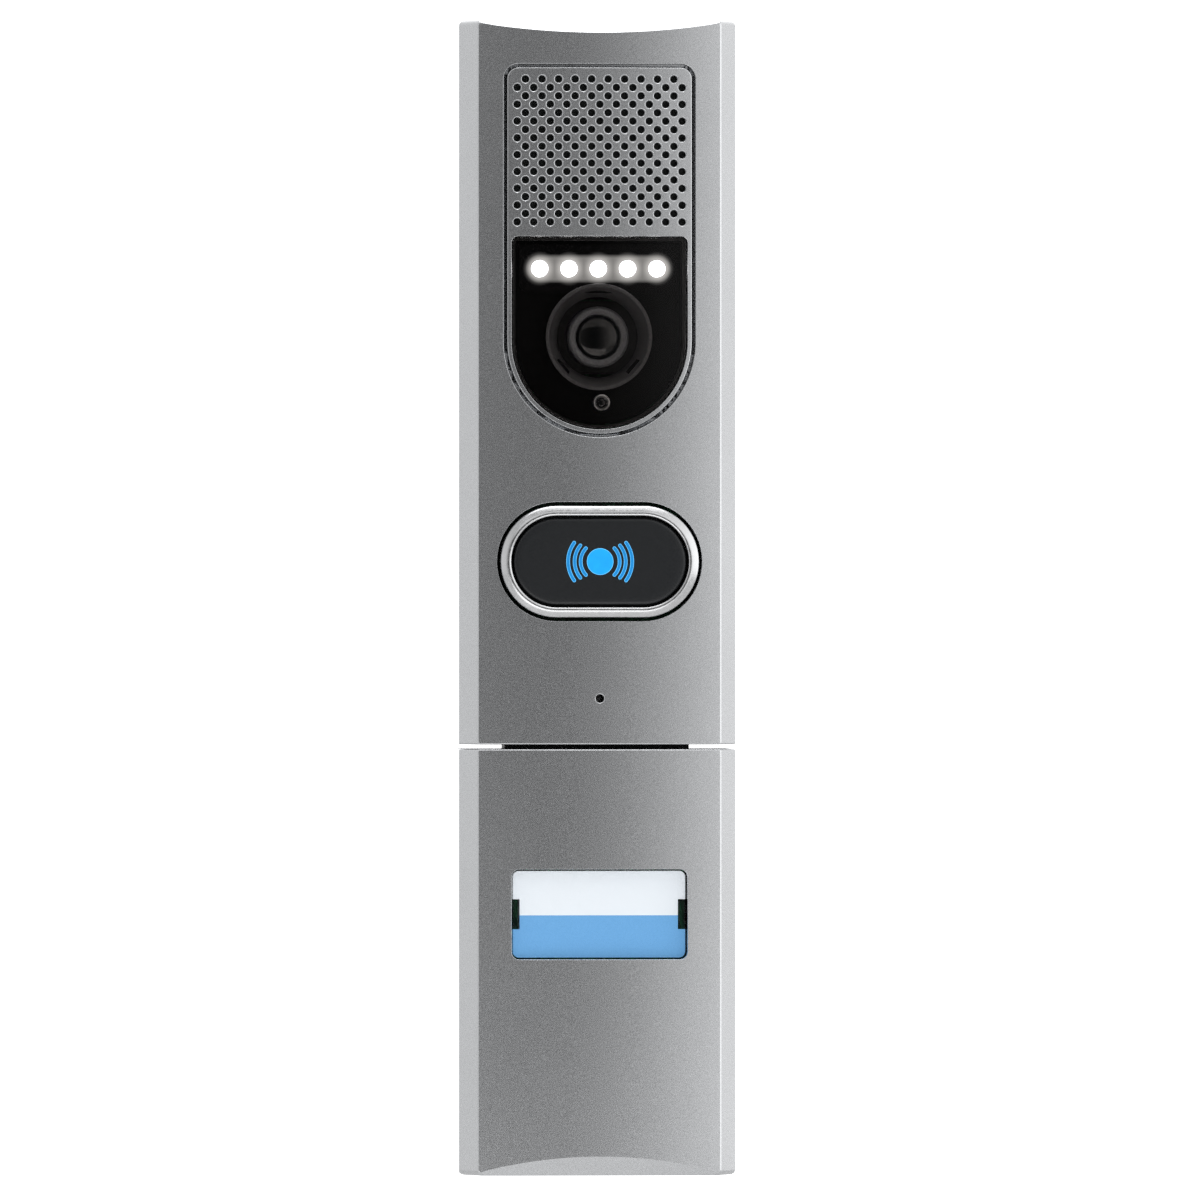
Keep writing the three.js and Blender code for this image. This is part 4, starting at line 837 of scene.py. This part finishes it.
def camera_window(mat, frame_mat):
    rings = pane_rings(window_outline, DEPTH - PANE_THICK, PANE_EDGE, 5)
    glass = smooth_bow(bow(new_object("window_pane", loft(rings), mat), WINDOW_HALF), 30)
    place(glass, "station", "gloss_black", "camera_window")
    front, back = DEPTH - RIM_FRONT, DEPTH - RIM_BACK
    section = [(0, front), (0, back), (-RIM_WIDTH, back), (-RIM_WIDTH, front)]
    rim_mesh = loft(rings_of(window_outline, section), loop=True)
    rim = smooth(bow(new_object("window_rim", rim_mesh, frame_mat), WINDOW_HALF))
    place(rim, "station", "gloss_black", "camera_window")


def bore(radius, x, z, steps=40):
    """A tool for a round hole through what stands behind the pane."""
    back, front = 20, 30
    return turned([(0, back), (radius, back), (radius, front), (0, front)], x, z, steps)


def camera_surround(mat):
    """The dark bulkhead behind the pane, with holes for the lamps, the camera and the light sensor."""
    outline = window_outline(-BULKHEAD_MARGIN)
    bulkhead = loft([(outline, BULKHEAD_BACK), (outline, BULKHEAD_FRONT)])
    made = new_object("camera_bulkhead", bulkhead, mat)
    cutters = [bore(CAMERA_BORE, 0, CAMERA_Z, 72), bore(SENSOR_BORE, SENSOR_X, SENSOR_Z)]
    cutters += [bore(LAMP_BORE, x, LAMP_Z) for x in LAMP_X]
    subtract(made, cutters)
    place(made, "station", "gloss_black", "camera_window")


def lamps(mat, tray_mat):
    profile = [(0, LAMP_BACK), (LAMP_RADIUS, LAMP_BACK), (LAMP_RADIUS, LAMP_DOME)]
    profile += [(LAMP_RADIUS * math.cos(t), LAMP_DOME + LAMP_RADIUS * math.sin(t)) for t in ROUND]
    profile += [(0, LAMP_FRONT)]
    for i, x in enumerate(LAMP_X):
        lamp = new_object(f"lamp_lens_{i + 1}", turned(profile, x, LAMP_Z, 40), mat)
        place(lamp, "station", "white_lamp", f"lamp_{i + 1}")
    outline = rounded_rectangle(TRAY_HALF_X, TRAY_HALF_Z, TRAY_CORNER, 0, LAMP_Z, 6)
    # The tray behind the lamps carries the painted glow round the lamps and the painted band of light
    # between them.
    tray = new_object("painted_glow_tray", loft([(outline, TRAY_BACK), (outline, TRAY_FRONT)]), tray_mat)
    subtract(tray, [bore(LAMP_BORE, x, LAMP_Z) for x in LAMP_X])
    place(tray, "station", "black_plastic")


def camera_pieces(hood_mat, barrel_mat, lens_mat, ring_mat):
    front = front_of("camera_hood")
    hood = [(HOOD_BORE, HOOD_BACK), (8.0, HOOD_BACK), (9.6, front - 0.1), (9.55, front), (9.0, front),
            (8.9, front - 0.12), (HOOD_BORE, HOOD_BACK)]
    made = new_object("hood_cone", turned(hood, 0, CAMERA_Z, 96), hood_mat)
    slits = []
    for angle in (-50, 50):
        slit = block((-1.6, 1.6), (20, 30), (-8.45, -7.85))
        bmesh.ops.transform(slit, matrix=Matrix.Rotation(math.radians(angle), 4, "Y"), verts=slit.verts[:])
        bmesh.ops.translate(slit, vec=(0, 0, CAMERA_Z * MM), verts=slit.verts[:])
        slits.append(slit)
    subtract(made, slits)
    place(made, "station", "black_plastic", "camera_hood")

    front, back = front_of("lens_barrel"), -node_box("lens_barrel")[1][1]
    barrel = [(3.0, back), (5.0, back), (5.0, front - 5), (5.5, front - 4.8), (5.5, front - BARREL_ROUND)]
    barrel += arc(4.6, front - BARREL_ROUND, BARREL_ROUND, 0, 60, 5)
    barrel += [(4.35, front - 0.35), (4.1, front - 0.6), (3.9, front - 2.6), (3.0, front - 2.8), (3.0, back)]
    made = new_object("lens_housing", turned(barrel, 0, CAMERA_Z, 96), barrel_mat)
    place(made, "camera", "black_plastic", "lens_barrel")

    dome = [(0, front - 2.5), (LENS_RADIUS, front - 2.5), (LENS_RADIUS, front - 1.5)]
    dome += [(LENS_RADIUS * math.cos(t), front - 1.5 + LENS_RISE * math.sin(t)) for t in ROUND]
    dome += [(0, front - 0.55)]
    lens = new_object("front_lens", turned(dome, 0, CAMERA_Z, 80), lens_mat)
    place(lens, "camera", "lens_glass", "lens_glass")

    top = front_of("light_sensor")
    tube = [(0.9, top - 3), (1.5, top - 3), (1.5, top - 0.3), (1.42, top - 0.18), (1.3, top - 0.12),
            (1.2, top - 0.3), (0.9, top - 0.9), (0.9, top - 3)]
    ring = new_object("light_sensor_ring", turned(tube, SENSOR_X, SENSOR_Z, 48), ring_mat)
    place(ring, "station", "lens_glass", "light_sensor")
    eye = [(0, top - 11), (1.45, top - 11), (1.45, top - 3.2), (0.85, top - 3.1), (0.85, top - 1.1),
           (0.6, top - 0.8), (0, top - 0.65)]
    sensor = new_object("light_sensor_eye", turned(eye, SENSOR_X, SENSOR_Z, 40), lens_mat)
    place(sensor, "station", "lens_glass", "light_sensor")


# ---- Push button ----


def button(ring_mat, cap_mat, disc_mat, arc_mat, edge_mat):
    outer, inner, top = CAP_GAP + RING_WIDTH, CAP_GAP, RING_TOP
    section = [(inner, top - 5.5), (outer, top - 5.5), (outer, top - 1.15)]
    section += [(outer - 0.5 + 0.5 * math.cos(t), top - 1.15 + 0.65 * math.sin(t)) for t in ROUND]
    section += [(outer - 0.85, top - 0.2), (outer - 1.15, top - 0.06), (outer - 1.4, top)]
    section += [(inner + 0.3, top - 0.03), (inner + 0.12, top - 0.1), (inner, top - 0.3)]
    ring_mesh = loft(rings_of(button_outline, section), loop=True)
    ring = new_object("button_bezel", ring_mesh, ring_mat, 50)
    place(ring, "station", "satin_ring", "button_ring")

    section = [(0, CAP_BACK), (0, CAP_FRONT - CAP_EDGE)]
    section += [(CAP_EDGE * (math.cos(t) - 1), CAP_FRONT - CAP_EDGE + (CAP_EDGE - 0.08) * math.sin(t))
                for t in [*ROUND, math.radians(90)]]
    section += [(-CAP_EDGE - 0.25, CAP_FRONT - 0.05), (-CAP_EDGE - 1.2, CAP_FRONT - 0.02)]
    cap = new_object("push_plate", loft(rings_of(button_outline, section)), cap_mat, 40)
    place(cap, "call_button", "gloss_black", "button_cap")
    skirt = refined("button_cap", "push_plate_skirt", cap_mat, 0.05, back_of=CAP_BACK - 0.02)
    place(skirt, "call_button", "gloss_black", "button_cap")
    symbol(disc_mat, arc_mat, edge_mat)


def symbol(disc_mat, arc_mat, edge_mat):
    """The lit call symbol: a disc between two sets of three curved bars, each with a paler rim."""
    low, top = CAP_FRONT - SYMBOL_SUNK, CAP_FRONT + SYMBOL_PROUD
    shapes = [(lambda margin: circle(0, BUTTON_Z, DISC_RADIUS + margin, 48), disc_mat, 0.1)]
    for radius, half_angle in SYMBOL_BARS:
        for middle in (0, 180):
            def bar(margin, r=radius, a=half_angle, m=middle):
                return curved_bar(r, a, m, BAR_HALF + margin)
            shapes.append((bar, arc_mat, 0.09))
    for i, (outline, mat, rim) in enumerate(shapes):
        section = [(-rim, low), (0, low), (0, top - 0.02), (-0.02, top), (-rim, top)]
        ring_mesh = loft(rings_of(outline, section), loop=True)
        ring = new_object(f"symbol_rim_{i + 1}", ring_mesh, edge_mat)
        place(ring, "call_button", "blue_light", "call_symbol")
        fill_mesh = loft([(outline(-rim), low), (outline(-rim), top - 0.008)])
        fill = new_object(f"symbol_{i + 1}", fill_mesh, mat)
        place(fill, "call_button", "blue_light", "call_symbol")


def curved_bar(radius, half_angle, middle, half_width):
    """A bar along an arc, with round ends."""
    points = arc(0, BUTTON_Z, radius + half_width, middle - half_angle, middle + half_angle, 16)
    for end, start in ((middle + half_angle, 0), (middle - half_angle, 180)):
        cx = radius * math.cos(math.radians(end))
        cz = BUTTON_Z + radius * math.sin(math.radians(end))
        points += arc(cx, cz, half_width, end + start, end + start + 180, 8)[1:-1]
        if start == 0:
            points += arc(0, BUTTON_Z, radius - half_width, middle + half_angle, middle - half_angle, 16)
    return points


# ---- Name plate ----


def name_plate(cover_mat, card_mat):
    half_x, half_z = NAME_WIDTH / 2 - NAME_GAP, NAME_HEIGHT / 2 - NAME_GAP

    def outline(margin):
        return rounded_rectangle(half_x, half_z, NAME_CORNER - NAME_GAP, margin, NAME_Z, 8)

    back = COVER_FRONT - COVER_THICK
    section = [(0, back), (0, COVER_FRONT - 0.25), (-0.07, COVER_FRONT - 0.07), (-0.25, COVER_FRONT)]
    cover = new_object("name_pane", loft(rings_of(outline, section)), cover_mat)
    place(cover, "name_plate", "clear_plastic", "name_cover")
    card_mesh = loft([(outline(0), CARD_FRONT - CARD_THICK), (outline(0), CARD_FRONT)])
    card = new_object("name_insert", card_mesh, card_mat)
    notch = NAME_WIDTH / 2 - 1.6
    subtract(card, [block(across, (20, 30), CLIP_NOTCH) for across in ((-20, -notch), (notch, 20))])
    place(card, "name_plate", "card", "name_card")
    for side, word in ((-1, "left"), (1, "right")):
        across = sorted((side * (NAME_WIDTH / 2 - 1.3), side * half_x))
        leg = new_object(f"name_clip_{word}", block(across, (COVER_BACK, back), CLIP), cover_mat)
        place(leg, "name_plate", "clear_plastic", "name_cover")


# ---- Back, link and fasteners ----


def refined(node, name, mat, width=0.15, back_of=None):
    """A copy of a CAD node's solid, or of what lies behind a depth, with its edges rounded."""
    source = frame["nodes"][node]
    bm = bmesh.new()
    bm.from_mesh(source.data)
    bm.transform(source.matrix_world)
    bmesh.ops.remove_doubles(bm, verts=bm.verts[:], dist=1e-6)
    if back_of is not None:
        edges = cut_off(bm, (0, -back_of * MM, 0), (0, -1, 0))
        bmesh.ops.triangle_fill(bm, use_beauty=True, edges=edges)
        bmesh.ops.recalc_face_normals(bm, faces=bm.faces[:])
    bmesh.ops.dissolve_limit(bm, angle_limit=math.radians(1), verts=bm.verts[:], edges=bm.edges[:])
    made = new_object(name, bm, mat)
    change = made.modifiers.new("edges", "BEVEL")
    change.width, change.segments, change.limit_method = width * MM, 2, "ANGLE"
    change.angle_limit = math.radians(40)
    apply_modifiers(made)
    smooth(made)
    return made


def screw(node, mat):
    """A pan head screw, seen from the wall side, with a cross recess."""
    low, high = node_box(node)
    (x, z), radius = middle_of(node), (high[0] - low[0]) / 2
    head, tip, rounding = -high[1], -low[1], 0.4
    profile = [(0, head)]
    for angle in (0, 20, 40, 60, 80, 90):
        turn = math.radians(angle)
        profile.append((radius - rounding + rounding * math.sin(turn),
                        head + rounding - rounding * math.cos(turn)))
    under = head + min(1.4, (tip - head) * 0.4)
    shank = 0.55 * radius
    profile += [(radius, under), (shank, under), (shank, tip - 0.5), (shank * 0.6, tip), (0, tip)]
    made = new_object(node + "_finished", turned(profile, x, z, 40), mat)
    reach, width = 0.62 * radius, 0.17 * radius
    subtract(made, [
        block((x - a, x + a), (head - 1, head + 0.7), (z - b, z + b))
        for a, b in ((reach, width), (width, reach))
    ])
    place(made, "station", "screw_steel", node)


def screw_post(node, name, mat):
    """The post in a shell that a case screw goes into."""
    post = [(POST_BORE, REAR_RECESS), (POST_RADIUS, REAR_RECESS), (POST_RADIUS, POST_FRONT),
            (POST_BORE, POST_FRONT), (POST_BORE, REAR_RECESS)]
    place(new_object(name, turned(post, *middle_of(node), 32), mat), "station", "silver_paint")


def slot_of(node):
    return next(s["material_slot"] for s in frame["record"]["subparts"] if s["node"] == node)


# ---- The pieces ----

SILVER = silver_paint()
BLACK = black_plastic()
BOARD = circuit_board()
PANE = pane("smoked_glass", (0.78, 0.765, 0.755))
CLEAR = pane("clear_plastic", (0.97, 0.98, 0.985))
RUBBER = rubber()
STEEL = satin_metal("screw_steel", (0.62, 0.62, 0.62), 0.3)
ZINC = zinc_plate()
LAMP = lamp_white()
DISC_BLUE = lit_blue("symbol_disc", (0.008, 0.36, 0.84), 0.5)
BAR_BLUE = lit_blue("symbol_bars", (0.006, 0.22, 0.58), 0.5)
EDGE_BLUE = lit_blue("symbol_edges", (0.12, 0.52, 0.93), 0.6)

NODE_MATERIALS = {
    "silver_paint": SILVER,
    "black_plastic": BLACK,
    "gloss_black": black_plastic("gloss_black", (0.008, 0.008, 0.009), 0.15),
    "lens_glass": black_plastic("sensor_glass", (0.01, 0.012, 0.02), 0.1),
    "satin_ring": satin_metal("satin_ring_node", (0.7, 0.71, 0.72), 0.25),
    "bracket_steel": ZINC,
    "screw_steel": STEEL,
    "seal_rubber": RUBBER,
    "circuit_board": BOARD,
    "terminal_green": black_plastic("terminal_green", (0.02, 0.2, 0.06), 0.45),
    "white_lamp": LAMP,
    "blue_light": DISC_BLUE,
    "clear_plastic": CLEAR,
    "card": card_paper(),
    "milky_plastic": black_plastic("milky_plastic", (0.8, 0.8, 0.78), 0.5),
    "speaker_fabric": fabric(),
    "speaker_paper": black_plastic("speaker_paper", (0.03, 0.03, 0.03), 0.85),
    "stem_plastic": black_plastic("stem_plastic", (0.7, 0.66, 0.56), 0.4),
    "ribbon_plastic": black_plastic("ribbon_plastic", (0.7, 0.7, 0.66), 0.35),
}
for node_name, node_object in frame["nodes"].items():
    node_object.data.materials.clear()
    node_object.data.materials.append(NODE_MATERIALS[slot_of(node_name)])

upper_shell(SILVER)
lower_shell(SILVER)
grille(SILVER)
camera_window(PANE, BLACK)
BULKHEAD = black_plastic("bulkhead_black", (0.002, 0.002, 0.0025), 0.6)
shader_of(BULKHEAD).inputs["Specular IOR Level"].default_value = 0.08
camera_surround(BULKHEAD)
lamps(LAMP, painted_glow_tray())
camera_pieces(
    black_plastic("hood_grey", (0.09, 0.09, 0.095), 0.5),
    black_plastic("barrel_grey", (0.16, 0.165, 0.175), 0.42),
    material("coated_lens", (0.003, 0.004, 0.005), 0.04, 0.0, Coat_Weight=0.6),
    satin_metal("sensor_ring", (0.95, 0.95, 0.95), 0.3),
)
button(
    satin_metal("satin_ring", (0.7, 0.705, 0.715), 0.24, (0.5, 1, 0.5)),
    button_plastic(), DISC_BLUE, BAR_BLUE, EDGE_BLUE,
)
name_plate(CLEAR, NODE_MATERIALS["card"])
for node_name in ("wall_bracket", "upper_rear_housing", "lower_rear_housing", "module_link",
                  "lock_screw", "terminal_block"):
    piece = refined(node_name, node_name + "_rounded", NODE_MATERIALS[slot_of(node_name)])
    place(piece, "station", slot_of(node_name), node_name)
for module in ("upper", "lower"):
    for number in (1, 2, 3, 4):
        node_name = f"{module}_case_screw_{number}"
        screw(node_name, STEEL)
        screw_post(node_name, f"{module}_screw_boss_{number}", SILVER)

# ---- Camera, light and floor ----


def camera_at(target, yaw, distance, frame_height):
    """A level camera, turned by yaw to the left of the front, that sees frame_height at the target."""
    data = bpy.data.cameras.new("camera")
    data.sensor_fit = "VERTICAL"
    data.sensor_height = 24
    data.lens = 24 / 2 / (frame_height / 2 / distance)
    data.clip_start, data.clip_end = 0.01, 50
    made = bpy.data.objects.new("camera", data)
    bpy.context.collection.objects.link(made)
    turn = math.radians(yaw)
    made.location = Vector(target) + Vector((-math.sin(turn), -math.cos(turn), 0)) * distance
    made.rotation_euler = (math.radians(90), 0, -turn)
    bpy.context.scene.camera = made


def area_light(name, place_at, size, energy, aim=(0, 0, 0)):
    data = bpy.data.lights.new(name, "AREA")
    data.shape, data.size, data.size_y, data.energy = "RECTANGLE", size[0], size[1], energy
    made = bpy.data.objects.new(name, data)
    bpy.context.collection.objects.link(made)
    made.location = place_at
    made.rotation_euler = (Vector(aim) - Vector(place_at)).to_track_quat("-Z", "Y").to_euler()


def world_ramp(world, value, stops):
    """A grey level along an angle, with stops of (degrees, level)."""
    turn = add_node(world, "ShaderNodeMapRange", {"From Min": -math.pi, "From Max": math.pi})
    world.node_tree.links.new(value, turn.inputs["Value"])
    made = add_node(world, "ShaderNodeValToRGB")
    elements = made.color_ramp.elements
    for degrees, level in stops:
        at = degrees / 360 + 0.5
        spot = elements[0] if at == 0 else elements[-1] if at == 1 else elements.new(at)
        grey = level / WORLD_STRENGTH
        spot.color = (grey, grey, grey, 1)
    world.node_tree.links.new(turn.outputs[0], made.inputs["Fac"])
    return made.outputs["Color"]


def studio_world():
    """White all round, but darker in front of the object."""
    world = bpy.data.worlds.new("studio")
    bpy.context.scene.world = world
    world.use_nodes = True
    link = world.node_tree.links.new
    coords = add_node(world, "ShaderNodeTexCoord")
    split = add_node(world, "ShaderNodeSeparateXYZ")
    link(coords.outputs["Generated"], split.inputs["Vector"])
    x, y, z = split.outputs
    azimuth = math_node(world, "ARCTAN2", x, math_node(world, "MULTIPLY", y, -1.0))
    round_level = world_ramp(world, azimuth, AROUND)
    up_level = world_ramp(world, math_node(world, "ARCSINE", z), UP)
    steepness = math_node(world, "POWER", math_node(world, "ABSOLUTE", z), 2.0)
    weight = math_node(world, "MINIMUM", 1.0, steepness)
    background = world.node_tree.nodes["Background"]
    link(mix_colours(world, weight, round_level, up_level), background.inputs["Color"])
    background.inputs["Strength"].default_value = WORLD_STRENGTH


# Brightness round the object, by degrees from its front towards its right, and by degrees above the level
AROUND = [(-180, 2.0), (-155, 1.5), (-125, 0.68), (-60, 0.8), (-30, 0.2), (-12, 0.09), (-4, 0.03), (2, 0.04),
          (9, 0.2), (17, 0.6), (28, 1.2), (100, 1.7), (130, 0.76), (155, 1.5), (180, 2.0)]
UP = [(-180, 0.6), (-60, 0.4), (-20, 0.25), (30, 0.25), (60, 0.55), (73, 2.0), (180, 2.0)]
WORLD_STRENGTH = 2.0  # a ramp's colour stops at 1, so the levels are divided by this

FLOOR_PLACE, FLOOR_HALF = (0, 0.3, -0.5), 2.0
FLOOR_GREY = (0.62, 0.62, 0.62)
floor_mesh = bmesh.new()
bmesh.ops.create_grid(floor_mesh, x_segments=1, y_segments=1, size=FLOOR_HALF)
floor_paint = speckled(material("floor_paint", FLOOR_GREY, 0.6), FLOOR_GREY, 0.01, 0.5, 0.6, 0.03, 0.01)
floor = new_object("floor", floor_mesh, floor_paint)
floor.location = FLOOR_PLACE

camera_at(target=(0.0006, -0.0205, -0.0004), yaw=3.6, distance=3.4, frame_height=0.2162)
studio_world()
area_light("top_light", (0.0, -0.12, 0.8), (0.8, 0.4), 1.5)
area_light("low_light", (-0.1, -0.6, -0.36), (0.7, 0.35), 0.9, (0, 0, -0.09))
area_light("high_light", (-0.1, -0.6, 0.42), (0.7, 0.35), 0.45, (0, 0, 0.12))
bpy.context.scene.view_settings.view_transform = "Standard"
